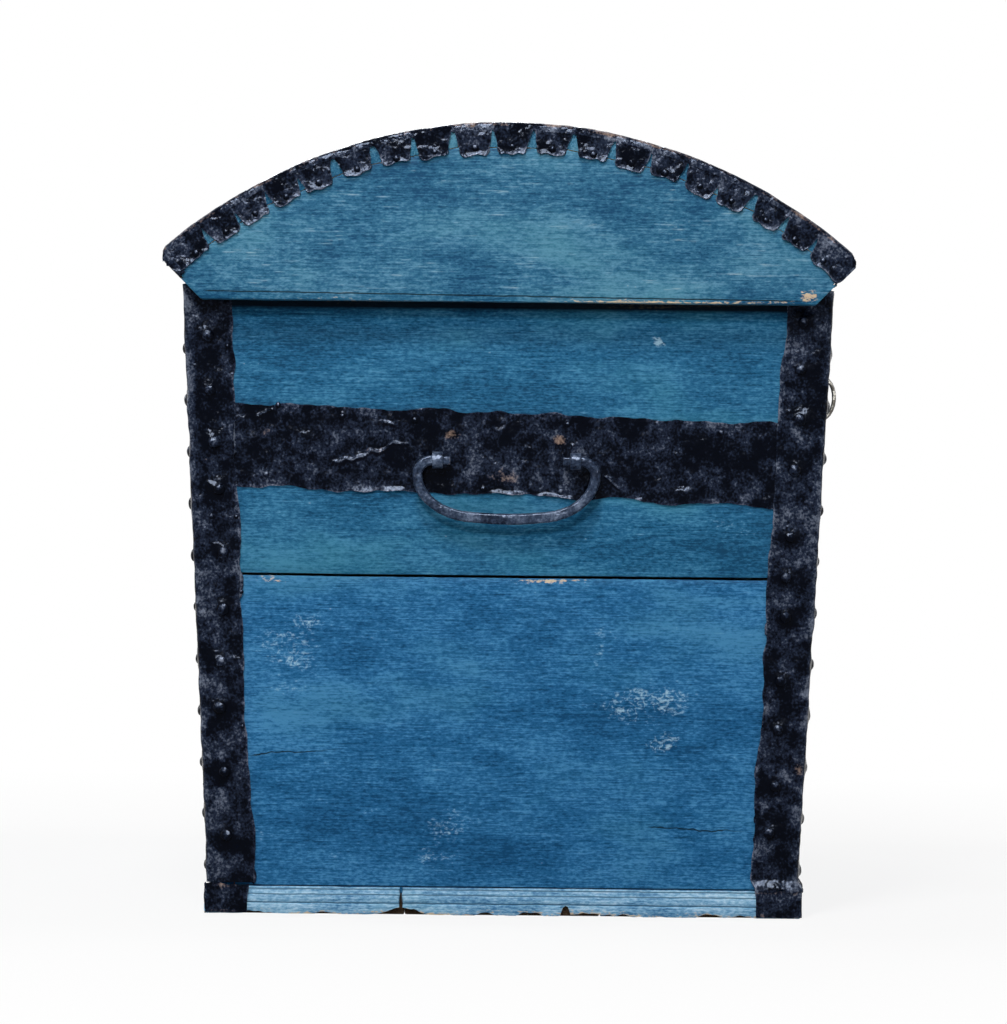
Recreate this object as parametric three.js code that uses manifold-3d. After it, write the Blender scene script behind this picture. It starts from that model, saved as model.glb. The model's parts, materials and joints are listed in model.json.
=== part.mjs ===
// A dome-top coffer: a chest of painted boards whose four walls lean in towards the floor, bound with sheet
// iron, under a coopered lid of staves on two arched end boards.
// X runs along the chest, Y from the front (-Y, with the lock) to the back (+Y, with the hinges), Z upwards.
// The origin is the middle of the underside of the floor.
import * as THREE from "three";
import { mergeVertices } from "three/addons/utils/BufferGeometryUtils.js";
import Module from "manifold-3d";

const wasm = await Module();
wasm.setup();

// Driving dimensions, in millimetres
// Wooden body
const rimLength = 1130;
const rimDepth = 618;
const rimHeight = 605;
const wallLean = 29; // how far each wall leans in between the rim and the ground
const boardThickness = 24;
const floorThickness = 20;
const plankJointHeight = 326; // where the upper and lower board of each wall meet
const endPlankGap = 2.4; // the open joint between the two boards of an end
const longPlankGap = 0.6;
const floorBoardCount = 3;
const fit = 0.3; // clearance between pieces that touch
const tailsPerBoard = 3;
const tailInside = 4; // a tail's wedge starts this far inside the long wall's board
const tailOutside = 6; // and ends this far outside it
const cutOver = 20; // how far a cutting shape runs past what it cuts
const tailShare = 0.5; // width of a dovetail's neck, as a share of the tails' spacing
const tailFlare = 1 / 6; // slope of a dovetail's sides

// Plinth moulding
const plinthHeight = 26;
const plinthDepth = 5;
const plinthBreak = 97; // where the moulding of the left end has snapped, measured from the middle
const plinthBreakGap = 5;

// Lid
const domeRadius = 498; // outside of the staves
const lidOverhang = 17.5; // how far the lowest staves stand out past the body, front and back
const lidEdgeRise = 20; // from the rim up to the foot of the staves' upright edge
const lidEdgeHeight = 9.5; // that upright edge, over the 45 degree bevel
const staveThickness = 20;
const staveCount = 7;
const arcSteps = 4; // flats along one stave
const lidEndThickness = 24;
const lidEndClearance = 4; // between the body's end at the rim and the lid's end board
const lidSkirt = 17; // how far the end boards hang below the rim
const railWidth = 60;
const railHeight = 34;

// Iron straps
const strapThickness = 2.5;
const cornerLeg = 44;
const sheetThickness = 1.2; // the thin band across each end
const endBandHeight = 80;
const endBandDrop = 161.5; // from the rim down to the band's middle
const endBandTilt = 18.5; // the band sits this much lower at the front than at the back
const endBandLap = 12; // how far the band runs under the corner straps
const lidStrapWidth = 45;
const lidStrapThickness = 2;
const tabCount = 19;
const tabReach = 29; // from the outside of the dome down to a tab's lower edge
const tabTopWidth = 36.5;
const tabEndWidth = 26;
const endFoldDrop = 16; // how far down the bevel the end straps are folded
const bandFoldDrop = 8; // and the two bands over the chest
const bandSpread = 260; // from the middle to each of the two bands over the chest
const bandWidth = 45;
const shoeHeight = 30;
const shoeThickness = 1.5;

// Nails
const nailRadius = 4.5;
const nailHeadHeight = 3;
const nailTopRadius = 2;
const nailSink = 0.6;
const nailSides = 5;
const cornerNailDrop = 38; // from the rim down to the first nail of a corner
const cornerNailFoot = 44; // from the plinth up to the last
const cornerNailCount = 11;
const tackRadius = 3.4;
const tackHeadHeight = 1.2;
const bandTackCount = 7;

// Bail handles
const handleDrop = 6.5; // from the middle of the end band down to the axis of the bail
const handleStandoff = 11; // from the wood to the axis that the bail turns on
const bailRadius = 4.6;
const bailDrop = 56;
const bailHalfWidth = 85;
const bailTip = 12; // from a staple to the end of the bail
const bailShoulder = 14; // radius of the bend outside of the staple
const bailFlat = 30; // half of the nearly straight stretch that the hand holds
const bailSag = 1.5; // how much lower the middle hangs than the ends of that stretch
const stapleSpread = 66;
const stapleWidth = 10;
const eyeRadius = 8;
const eyeBore = 5.3;
const shankSize = 6;
const clenchHeight = 34;
const clenchWidth = 8;
const clenchThickness = 3;

// Hinges
const barrelRadius = 5.5;
const barrelBore = 3;
const pinRadius = 2.6;
const pinHeadRadius = 4.4;
const pinHeadLength = 2.5;
const barrelOffset = 8.5; // from the back of the body to the hinge axis
const barrelRise = 1; // the axis lies this far above the rim

// Lock
const keyDrop = 90; // from the rim down to the keyhole, along the front
const lockWidth = 140;
const lockBelowKey = 30;
const lockAboveKey = 82;
const lockDepth = 26;
const lockSheet = 2;
const caseInset = 2; // the case is this much smaller than the plate
const escutcheonWidth = 68;
const escutcheonHeight = 104;
const keyShankRadius = 4.5;
const keyholeGap = 0.8;
const journalGap = 0.4; // round the key's tip, in the back of the case
const keyBitReach = 17;
const keyBitThickness = 4;
const keyBitWidth = 15;
const bowHalfHeight = 25;
const bowHalfLength = 17;
const bowWire = 2.3;
const keyNeck = 15; // from the escutcheon to the bow
const boltThickness = 5;
const boltTravel = 18;
const boltTipGap = 4; // from the head of the open bolt to the catch
const boltEndGap = 2; // from the end of the locked bolt to the case
const boltStart = -54;
const boltNotch = [-32, -14.5]; // the bit turns up through this gap and pushes its right side
const notchDepth = 8;
const boltRiser = [-4, 12]; // the part of the bolt that reaches up to its head
const channelMiddles = [-41.5, 33.5];
const channelWidth = 7;
const channelLip = 3;
const springSheet = 1.5;
const springFoot = [-34, -24]; // where the spring bears on the bolt
const springRise = 28;
const springSeat = 12;
const boltAboveKey = 10; // from the key's axis to the lower edge of the bolt
const boltHeight = 16;
const boltHeadAboveKey = 58;
const boltHeadHeight = 13;
const catchThickness = 6;
const catchPosition = 43;
const catchBaseWidth = 48;
const catchBaseDepth = 18;
const catchBaseSheet = 2.7;
const catchPlateDepth = 16;
const slotPlay = 1.5; // on each side of the catch, in the slot of the case
const catchPlateFoot = 5; // below the hole

// Materials
const bluePaint = new THREE.MeshStandardMaterial({ color: 0x24688f, roughness: 0.55 });
const palePaint = new THREE.MeshStandardMaterial({ color: 0x4a84a8, roughness: 0.6 });
const bareWood = new THREE.MeshStandardMaterial({ color: 0x9c7a55, roughness: 0.8 });
const blackIron = new THREE.MeshStandardMaterial({ color: 0x17192a, roughness: 0.45, metalness: 0.3 });
const forgedIron = new THREE.MeshStandardMaterial({ color: 0x343848, roughness: 0.5, metalness: 0.5 });
const greyIron = new THREE.MeshStandardMaterial({ color: 0x6a655e, roughness: 0.45, metalness: 0.8 });

const coffer = new THREE.Group();

// Shape helpers
function solidFrom(geometry) {
  const plain = geometry.index ? geometry : geometry.clone();
  plain.deleteAttribute("normal");
  plain.deleteAttribute("uv");
  const merged = mergeVertices(plain, 1e-4);
  return new wasm.Manifold(
    new wasm.Mesh({
      numProp: 3,
      vertProperties: new Float32Array(merged.attributes.position.array),
      triVerts: new Uint32Array(merged.index.array),
    }),
  );
}

function geometryFrom(solid) {
  const mesh = solid.getMesh();
  const geometry = new THREE.BufferGeometry();
  geometry.setAttribute("position", new THREE.BufferAttribute(new Float32Array(mesh.vertProperties), 3));
  geometry.setIndex(new THREE.BufferAttribute(new Uint32Array(mesh.triVerts), 1));
  const faceted = geometry.toNonIndexed();
  faceted.computeVertexNormals();
  return faceted;
}

function addPiece(name, solid, material, parent = coffer) {
  const mesh = new THREE.Mesh(geometryFrom(solid), material);
  mesh.name = name;
  parent.add(mesh);
}

const joined = (solids) => wasm.Manifold.union(solids);

const span = (a, b) => [Math.min(a, b), Math.max(a, b)];

// A box whose sides in X and Y follow the height: each range is a function of z that gives two limits.
function leaningBox(xRange, yRange, low, high) {
  const geometry = new THREE.BoxGeometry(1, 1, 1);
  const position = geometry.attributes.position;
  for (let i = 0; i < position.count; i++) {
    const z = position.getZ(i) < 0 ? low : high;
    const x = xRange(z)[position.getX(i) < 0 ? 0 : 1];
    const y = yRange(z)[position.getY(i) < 0 ? 0 : 1];
    position.setXYZ(i, x, y, z);
  }
  return solidFrom(geometry);
}

const box = (xRange, yRange, zRange) => leaningBox(() => xRange, () => yRange, zRange[0], zRange[1]);

function extruded(points, depth, basis) {
  const shape = new THREE.Shape(points.map(([a, b]) => new THREE.Vector2(a, b)));
  const geometry = new THREE.ExtrudeGeometry(shape, { depth, bevelEnabled: false });
  return solidFrom(geometry.applyMatrix4(basis));
}

// An outline of [y, z] points, extruded from one x to another.
function alongX(points, [from, to]) {
  const basis = new THREE.Matrix4().makeBasis(
    new THREE.Vector3(0, 1, 0),
    new THREE.Vector3(0, 0, 1),
    new THREE.Vector3(1, 0, 0),
  );
  return extruded(points, to - from, basis.setPosition(from, 0, 0));
}

// An outline of [x, z] points, extruded from one y to another.
function alongY(points, [from, to]) {
  const basis = new THREE.Matrix4().makeBasis(
    new THREE.Vector3(1, 0, 0),
    new THREE.Vector3(0, 0, 1),
    new THREE.Vector3(0, -1, 0),
  );
  return extruded(points, to - from, basis.setPosition(0, to, 0));
}

// A round bar, or a tapered one, whose start is at a point and which runs in a direction.
function roundBar(start, direction, length, startRadius, endRadius = startRadius, sides = 16) {
  const geometry = new THREE.CylinderGeometry(endRadius, startRadius, length, sides);
  geometry.translate(0, length / 2, 0);
  const along = direction.clone().normalize();
  const turn = new THREE.Quaternion().setFromUnitVectors(new THREE.Vector3(0, 1, 0), along);
  geometry.applyQuaternion(turn);
  geometry.translate(start.x, start.y, start.z);
  return solidFrom(geometry);
}

// The head of a hand-made nail: a low faceted dome that starts a little inside the iron.
function nailHead(point, direction) {
  const start = point.clone().addScaledVector(direction, -nailSink);
  return roundBar(start, direction, nailHeadHeight + nailSink, nailRadius, nailTopRadius, nailSides);
}

// The flat head of a small tack.
function tackHead(point, direction) {
  const start = point.clone().addScaledVector(direction, -nailSink);
  return roundBar(start, direction, tackHeadHeight + nailSink, tackRadius, tackRadius, nailSides);
}

// Heights that follow from these
const endBandMiddle = rimHeight - endBandDrop;
const handleHeight = endBandMiddle - handleDrop;
const cornerNailTop = rimHeight - cornerNailDrop;
const nailSpacing = (cornerNailTop - plinthHeight - cornerNailFoot) / (cornerNailCount - 1);

// The leaning walls
const leanAt = (z) => wallLean * (1 - z / rimHeight);
const halfLength = (z) => rimLength / 2 - leanAt(z);
const halfDepth = (z) => rimDepth / 2 - leanAt(z);
const wallBottom = floorThickness + fit;
const leanAngle = Math.atan(wallLean / rimHeight);

// A slab against an end wall: side is -1 for the left end and 1 for the right. The range of x is measured
// outwards from the wood.
const onEnd = (side, [inner, outer], yRange, low, high) =>
  leaningBox((z) => span(side * (halfLength(z) + inner), side * (halfLength(z) + outer)), yRange, low, high);

// A slab against a long wall: side is -1 for the front and 1 for the back.
const onLong = (side, [inner, outer], xRange, low, high) =>
  leaningBox(xRange, (z) => span(side * (halfDepth(z) + inner), side * (halfDepth(z) + outer)), low, high);

// One dovetail of an end board, as a wedge that widens towards the outside of a long wall.
function dovetail(side, longSide, middle, neck, clearance) {
  const inside = halfDepth(middle) - boardThickness - tailInside;
  const outside = halfDepth(middle) + tailOutside;
  const halfNeck = neck / 2 + clearance;
  const halfTip = halfNeck + (outside - inside) * tailFlare;
  const outline = [
    [longSide * inside, middle - halfNeck],
    [longSide * inside, middle + halfNeck],
    [longSide * outside, middle + halfTip],
    [longSide * outside, middle - halfTip],
  ];
  const from = rimLength / 2 - wallLean - boardThickness - cutOver;
  const wedge = alongX(outline, span(side * from, side * (rimLength / 2 + cutOver)));
  const depth = boardThickness + clearance;
  const board = onEnd(side, [-depth, cutOver], () => [-rimDepth, rimDepth], middle - neck, middle + neck);
  return wedge.intersect(board);
}

function dovetails(side, longSide, low, high, clearance) {
  const spacing = (high - low) / tailsPerBoard;
  const tails = [];
  for (let i = 0; i < tailsPerBoard; i++) {
    tails.push(dovetail(side, longSide, low + (i + 0.5) * spacing, spacing * tailShare, clearance));
  }
  return joined(tails);
}

// The two boards of a wall, as [name, low, high].
const boardRows = (gap) => [
  ["lower", wallBottom, plankJointHeight - gap / 2],
  ["upper", plankJointHeight + gap / 2, rimHeight],
];

function makeEndBoards(name, side) {
  for (const [row, low, high] of boardRows(endPlankGap)) {
    const middle = onEnd(
      side,
      [-boardThickness, 0],
      (z) => [-halfDepth(z) + boardThickness + fit, halfDepth(z) - boardThickness - fit],
      low,
      high,
    );
    const slab = onEnd(side, [-boardThickness, 0], (z) => [-halfDepth(z), halfDepth(z)], low, high);
    const tails = joined([-1, 1].map((longSide) => dovetails(side, longSide, low, high, 0).intersect(slab)));
    let board = middle.add(tails);
    if (row === "upper") {
      for (const end of [-1, 1]) {
        board = board.subtract(stapleHole(side, end));
      }
    }
    addPiece(`${name}_${row}_board`, board, bluePaint);
  }
}

function makeLongBoards(name, longSide) {
  const ends = boardRows(endPlankGap);
  boardRows(longPlankGap).forEach(([row, low, high], i) => {
    let board = onLong(longSide, [-boardThickness, 0], (z) => [-halfLength(z), halfLength(z)], low, high);
    for (const side of [-1, 1]) {
      board = board.subtract(dovetails(side, longSide, ends[i][1], ends[i][2], fit));
    }
    if (row === "upper" && longSide < 0) {
      board = board.subtract(intoFront(keyhole([-5, boardThickness + 5])));
    }
    addPiece(`${name}_${row}_board`, board, bluePaint);
  });
}

function makeFloor() {
  const width = (2 * halfDepth(floorThickness)) / floorBoardCount;
  for (let i = 0; i < floorBoardCount; i++) {
    const front = -halfDepth(floorThickness) + i * width;
    const reach = halfLength(floorThickness);
    const board = box([-reach, reach], [front + fit / 2, front + width - fit / 2], [0, floorThickness]);
    addPiece(`floor_board_${i + 1}`, board, bareWood);
  }
}

// The moulding's section, as [distance out from the wall, z].
const plinthSection = [
  [0, 0],
  [plinthDepth - 0.5, 0],
  [plinthDepth, 9],
  [plinthDepth - 1.5, 10],
  [plinthDepth - 0.5, 12],
  [plinthDepth, 15],
  [plinthDepth - 0.5, 18],
  [plinthDepth - 1.5, 19.5],
  [plinthDepth - 2, 23],
  [plinthDepth - 3.5, plinthHeight],
  [0, plinthHeight],
];
const plinthBackFace = (half) => half(plinthHeight) + fit;

// The mouldings of the long walls run past those of the ends, which butt against them.
function makePlinth() {
  const longReach = plinthBackFace(halfLength) + plinthDepth;
  for (const [name, side] of [["front", -1], ["back", 1]]) {
    const section = plinthSection.map(([out, z]) => [side * (plinthBackFace(halfDepth) + out), z]);
    addPiece(`plinth_${name}`, alongX(section, [-longReach, longReach]), palePaint);
  }
  const butt = plinthBackFace(halfDepth) - fit;
  const pieces = [
    ["plinth_left_front", -1, [-butt, plinthBreak - plinthBreakGap / 2]],
    ["plinth_left_back", -1, [plinthBreak + plinthBreakGap / 2, butt]],
    ["plinth_right", 1, [-butt, butt]],
  ];
  for (const [name, side, range] of pieces) {
    const section = plinthSection.map(([out, z]) => [side * (plinthBackFace(halfLength) + out), z]);
    addPiece(name, alongY(section, range), palePaint);
  }
}

// Iron on the corners of the body
const corners = [
  ["left_front", -1, -1],
  ["left_back", -1, 1],
  ["right_front", 1, -1],
  ["right_back", 1, 1],
];

// The block of space round one corner of the body, reaching outside the wood and in along both walls.
function cornerBlock(side, longSide, outside, leg, low, high) {
  return leaningBox(
    (z) => span(side * (halfLength(z) - leg), side * (halfLength(z) + outside)),
    (z) => span(longSide * (halfDepth(z) - leg), longSide * (halfDepth(z) + outside)),
    low,
    high,
  );
}

function cornerNails(side, longSide) {
  const nails = [];
  const skin = fit + strapThickness;
  const inset = cornerLeg / 2;
  for (let i = 0; i < cornerNailCount; i++) {
    const z = cornerNailTop - i * nailSpacing;
    const point = new THREE.Vector3(side * (halfLength(z) + skin), longSide * (halfDepth(z) - inset), z);
    nails.push(nailHead(point, new THREE.Vector3(side, 0, 0)));
  }
  for (let i = 0; i < cornerNailCount; i++) {
    const z = cornerNailTop - (i + 0.5) * nailSpacing;
    const point = new THREE.Vector3(side * (halfLength(z) - inset), longSide * (halfDepth(z) + skin), z);
    nails.push(nailHead(point, new THREE.Vector3(0, longSide, 0)));
  }
  return nails;
}

function makeCornerStraps() {
  const low = plinthHeight + 3;
  const high = rimHeight - 2;
  for (const [name, side, longSide] of corners) {
    const outer = cornerBlock(side, longSide, fit + strapThickness, cornerLeg, low, high);
    const inner = cornerBlock(side, longSide, fit, cornerLeg + 5, low - 5, high + 5);
    const relief = endBandSolid(side, fit, endBandLap + fit);
    const strap = outer.subtract(inner).subtract(relief);
    addPiece(`corner_strap_${name}`, joined([strap, ...cornerNails(side, longSide)]), blackIron);
  }
}

// The shoes wrap the moulding at the corners. The one at the left back has lost its second leg.
function makeShoes() {
  for (const [name, side, longSide] of corners) {
    const xFace = plinthBackFace(halfLength) + plinthDepth + fit;
    const yFace = plinthBackFace(halfDepth) + plinthDepth + fit;
    const xRange = span(side * (xFace - cornerLeg), side * (xFace + shoeThickness));
    const whole = name !== "left_back";
    const yEnd = whole ? yFace + shoeThickness : yFace - fit;
    const yRange = span(longSide * (yFace - cornerLeg), longSide * yEnd);
    const outer = box(xRange, yRange, [1, shoeHeight]);
    const inner = box(
      span(side * (xFace - cornerLeg - 5), side * xFace),
      span(longSide * (yFace - cornerLeg - 5), longSide * (whole ? yFace : yEnd + 5)),
      [0, shoeHeight + 5],
    );
    addPiece(`plinth_shoe_${name}`, outer.subtract(inner), blackIron);
  }
}

// The thin band across an end, cut square to the tilt that it was nailed on with.
function endBandSolid(side, clearance, lap) {
  const reach = halfDepth(endBandMiddle) - cornerLeg + lap;
  const half = endBandHeight / 2 + clearance;
  const drop = (endBandTilt * reach) / rimDepth;
  const outline = [
    [-reach, endBandMiddle - drop - half],
    [reach, endBandMiddle + drop - half],
    [reach, endBandMiddle + drop + half],
    [-reach, endBandMiddle - drop + half],
  ];
  const sheet = onEnd(
    side,
    [fit - clearance, fit + sheetThickness + clearance],
    () => [-rimDepth, rimDepth],
    endBandMiddle - endBandHeight,
    endBandMiddle + endBandHeight,
  );
  const across = span(side * (rimLength / 2 - wallLean - 10), side * (rimLength / 2 + 10));
  return sheet.intersect(alongX(outline, across));
}

function makeEndBand(name, side) {
  const tacks = [];
  const reach = halfDepth(endBandMiddle) - cornerLeg - 14;
  for (let i = 0; i < bandTackCount; i++) {
    const y = -reach + (2 * reach * i) / (bandTackCount - 1);
    for (const edge of [-1, 1]) {
      const z = endBandMiddle + (endBandTilt * y) / rimDepth + edge * (endBandHeight / 2 - 8);
      const x = side * (halfLength(z) + fit + sheetThickness);
      tacks.push(tackHead(new THREE.Vector3(x, y, z), new THREE.Vector3(side, 0, 0)));
    }
  }
  let band = joined([endBandSolid(side, 0, endBandLap), ...tacks]);
  for (const end of [-1, 1]) {
    band = band.subtract(stapleHole(side, end));
  }
  addPiece(name, band, blackIron);
}

// Bail handles: a forged bail whose ends turn in the eyes of two staples, clenched inside the end board.
const handleAxis = (side) => side * (halfLength(handleHeight) + handleStandoff);

function stapleHole(side, end) {
  const half = shankSize / 2 + fit;
  const middle = end * stapleSpread;
  const across = span(side * (halfLength(0) - boardThickness - 10), handleAxis(side));
  return box(across, [middle - half, middle + half], [handleHeight - half, handleHeight + half]);
}

function makeStaple(name, side, end) {
  const middle = end * stapleSpread;
  const along = new THREE.Vector3(0, 1, 0);
  const x = handleAxis(side);
  const bar = (radius, length) =>
    roundBar(new THREE.Vector3(x, middle - length / 2, handleHeight), along, length, radius);
  const ring = bar(eyeRadius, stapleWidth);
  const half = shankSize / 2;
  const inner = halfLength(handleHeight) - boardThickness - fit - clenchThickness / 2;
  const shank = box(
    span(side * inner, x - side * (eyeBore + 1)),
    [middle - half, middle + half],
    [handleHeight - half, handleHeight + half],
  );
  const clench = onEnd(
    side,
    [-boardThickness - fit - clenchThickness, -boardThickness - fit],
    () => [middle - clenchWidth / 2, middle + clenchWidth / 2],
    handleHeight - clenchHeight / 2,
    handleHeight + clenchHeight / 2,
  );
  const staple = joined([ring, shank, clench]).subtract(bar(eyeBore, stapleWidth + 10));
  addPiece(name, staple, forgedIron);
}

function makeBail(name, side) {
  const half = [
    [stapleSpread - bailTip, 0],
    [stapleSpread - stapleWidth / 2 - 1, 0],
  ];
  for (const turn of [90, 60, 30]) {
    const angle = THREE.MathUtils.degToRad(turn);
    half.push([
      bailHalfWidth - bailShoulder * (1 - Math.cos(angle)),
      bailShoulder * (Math.sin(angle) - 1),
    ]);
  }
  for (const turn of [0, 25, 50, 75]) {
    const angle = THREE.MathUtils.degToRad(turn);
    half.push([
      bailFlat + (bailHalfWidth - bailFlat) * Math.cos(angle),
      -bailShoulder - (bailDrop - bailSag - bailShoulder) * Math.sin(angle),
    ]);
  }
  half.push([0, -bailDrop]);
  const points = [...half, ...mirrored(half.slice(0, -1))].map(
    ([y, z]) => new THREE.Vector3(handleAxis(side), y, handleHeight + z),
  );
  const path = new THREE.CatmullRomCurve3(points, false, "centripetal");
  const section = new THREE.Shape();
  const sides = 6;
  for (let i = 0; i < sides; i++) {
    const angle = ((i + 0.5) * 2 * Math.PI) / sides;
    const point = [bailRadius * Math.cos(angle), bailRadius * Math.sin(angle)];
    if (i === 0) section.moveTo(...point);
    else section.lineTo(...point);
  }
  const geometry = new THREE.ExtrudeGeometry(section, { steps: 44, extrudePath: path, bevelEnabled: false });
  addPiece(name, solidFrom(geometry), forgedIron);
}

// The dome: staves laid side by side on an arc round an axis along X
const staveInnerRadius = domeRadius - staveThickness;
const lidHalfDepth = rimDepth / 2 + lidOverhang;
const domeAngle = Math.asin(lidHalfDepth / domeRadius);
const edgeLow = rimHeight + lidEdgeRise;
const domeCentre = edgeLow + lidEdgeHeight - domeRadius * Math.cos(domeAngle);
const stavePitch = (2 * domeAngle) / staveCount;
const lidEndFace = rimLength / 2 + lidEndClearance;
const lidHalfLength = lidEndFace + lidEndThickness;
const onDome = (radius, angle) => [radius * Math.sin(angle), domeCentre + radius * Math.cos(angle)];
const mirrored = (points) => points.map(([y, z]) => [-y, z]).reverse();

// The bevel along the lid's long edges: how far the wood reaches from the middle at a height.
const bevelReach = (z) => lidHalfDepth - (edgeLow - z);

// Where the flat underside of the lowest stave, or a line below it, meets the bevel.
function undersideEdge(clearance) {
  const [y1, z1] = onDome(staveInnerRadius - clearance, domeAngle - stavePitch);
  const [y2, z2] = onDome(staveInnerRadius - clearance, domeAngle);
  const share = (bevelReach(z2) - y2) / (y2 - y1 + z1 - z2);
  return [y2 + share * (y2 - y1), z2 + share * (z2 - z1)];
}

function arc(radius, from, to, steps) {
  const points = [];
  for (let i = 0; i <= steps; i++) {
    points.push(onDome(radius, from + ((to - from) * i) / steps));
  }
  return points;
}

function makeStaves() {
  const gap = fit / 2 / domeRadius;
  for (let i = 0; i < staveCount; i++) {
    const from = -domeAngle + i * stavePitch + gap;
    const to = from + stavePitch - 2 * gap;
    const lowest = i === 0 || i === staveCount - 1;
    let outline = [
      ...arc(domeRadius, from, to, arcSteps),
      onDome(staveInnerRadius, to),
      onDome(staveInnerRadius, from),
    ];
    if (lowest) {
      const inner = domeAngle - stavePitch + gap;
      outline = [
        ...arc(domeRadius, inner, domeAngle, arcSteps),
        [lidHalfDepth, edgeLow],
        undersideEdge(0),
        onDome(staveInnerRadius, inner),
      ];
    }
    const placed = i === 0 ? mirrored(outline) : outline;
    addPiece(`lid_stave_${i + 1}`, alongX(placed, [-lidHalfLength, lidHalfLength]), bluePaint);
  }
}

// The end board's chamfer stands level with the outside of the iron that is folded over the bevel above it.
function makeLidEnd(name, side) {
  const low = rimHeight - lidSkirt;
  const proud = Math.SQRT2 * (fit + lidStrapThickness);
  const shoulder = edgeLow - endFoldDrop - lidStrapThickness;
  const half = [
    [bevelReach(low) + proud, low],
    [bevelReach(shoulder) + proud, shoulder],
    [bevelReach(shoulder), shoulder],
    undersideEdge(fit),
  ];
  const inner = domeAngle - stavePitch;
  const arch = arc(staveInnerRadius - fit, inner, -inner, staveCount - 2);
  const outline = [...half, ...arch, ...mirrored(half)];
  addPiece(name, alongX(outline, span(side * lidEndFace, side * lidHalfLength)), bluePaint);
}

// A rail under the lowest stave, which gives the lid a flat edge to close on.
function makeLidRail(name, longSide) {
  const [y1, z1] = onDome(staveInnerRadius - fit, domeAngle - stavePitch);
  const [y2, z2] = undersideEdge(fit);
  const low = rimHeight + fit;
  const top = low + railHeight;
  const inner = rimDepth / 2 - railWidth;
  const outline = [
    [bevelReach(low), low],
    [y2, z2],
    [y2 - ((top - z2) * (y2 - y1)) / (z1 - z2), top],
    [inner, top],
    [inner, low],
  ].map(([y, z]) => [longSide * y, z]);
  addPiece(name, alongX(outline, [-lidEndFace + fit, lidEndFace - fit]), bareWood);
}

// Sheet iron bent over the dome
const strapOuter = domeRadius + fit + lidStrapThickness;

// A line of [y, z] points moved out by a distance, with its corners kept sharp.
function offsetLine(points, distance) {
  const at = (i) => new THREE.Vector2(...points[i]);
  const normal = (i) => {
    const along = at(i + 1).sub(at(i)).normalize();
    return new THREE.Vector2(along.y, -along.x).multiplyScalar(-1);
  };
  return points.map((point, i) => {
    const first = normal(Math.max(i - 1, 0));
    const second = normal(Math.min(i, points.length - 2));
    const middle = first.clone().add(second).normalize();
    middle.multiplyScalar(distance / middle.dot(first));
    return [point[0] + middle.x, point[1] + middle.y];
  });
}

// The line of the wood that a strap follows: over the dome, down the edges and some way along the bevels.
function strapLine(foldDrop) {
  const edge = [
    [lidHalfDepth, edgeLow],
    [bevelReach(edgeLow - foldDrop), edgeLow - foldDrop],
  ];
  return [...mirrored(edge), ...arc(domeRadius, -domeAngle, domeAngle, arcSteps * staveCount), ...edge];
}

function domeBand(foldDrop, range) {
  const line = strapLine(foldDrop);
  return alongX([...offsetLine(line, fit + lidStrapThickness), ...offsetLine(line, fit).reverse()], range);
}

function tab(side, angle) {
  const [top, end] = [strapOuter - 0.4, strapOuter - tabReach];
  const outline = [
    [-tabTopWidth / 2, top],
    [tabTopWidth / 2, top],
    [tabEndWidth / 2, end],
    [-tabEndWidth / 2, end],
  ].map(([along, radius]) => [
    along * Math.cos(angle) + radius * Math.sin(angle),
    domeCentre - along * Math.sin(angle) + radius * Math.cos(angle),
  ]);
  return alongX(outline, tabRange(side));
}

// The last tab at either edge is cut along the bevel.
function cornerTab(side, longSide) {
  const pitch = (2 * domeAngle) / tabCount;
  const slit = (tabEndWidth / tabTopWidth) * pitch;
  const outline = [
    onDome(strapOuter - 0.4, domeAngle - (tabTopWidth / (strapOuter * pitch)) * pitch),
    ...offsetLine(strapLine(endFoldDrop), fit + lidStrapThickness / 2).slice(-3),
    onDome(strapOuter - tabReach, domeAngle - slit),
  ];
  return alongX(longSide < 0 ? mirrored(outline) : outline, tabRange(side));
}

function tabRange(side) {
  const face = lidHalfLength + fit;
  return span(side * face, side * (face + lidStrapThickness));
}

function makeLidEndStrap(name, side) {
  const face = lidHalfLength + fit + lidStrapThickness;
  const across = span(side * (lidHalfLength - lidStrapWidth), side * face);
  const pieces = [domeBand(endFoldDrop, across)];
  const pitch = (2 * domeAngle) / tabCount;
  for (let i = 0; i < tabCount; i++) {
    const angle = -domeAngle + (i + 0.5) * pitch;
    const corner = i === 0 || i === tabCount - 1;
    pieces.push(corner ? cornerTab(side, Math.sign(angle)) : tab(side, angle));
    const [y, z] = onDome(strapOuter - tabReach + 7, angle);
    pieces.push(nailHead(new THREE.Vector3(side * face, y, z), new THREE.Vector3(side, 0, 0)));
    const [topY, topZ] = onDome(strapOuter, angle);
    const up = new THREE.Vector3(0, Math.sin(angle), Math.cos(angle));
    pieces.push(nailHead(new THREE.Vector3(side * (lidHalfLength - lidStrapWidth / 2), topY, topZ), up));
  }
  addPiece(name, joined(pieces), blackIron);
}

// Hinges: the lid's bands end in a barrel between two barrels of the back bands
const hingeY = rimDepth / 2 + barrelOffset;
const hingeZ = rimHeight + barrelRise;
const barrelThird = bandWidth / 3;

function hingeBar(radius, [from, to], sides = 16) {
  const start = new THREE.Vector3(from, hingeY, hingeZ);
  return roundBar(start, new THREE.Vector3(1, 0, 0), to - from, radius, radius, sides);
}

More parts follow.
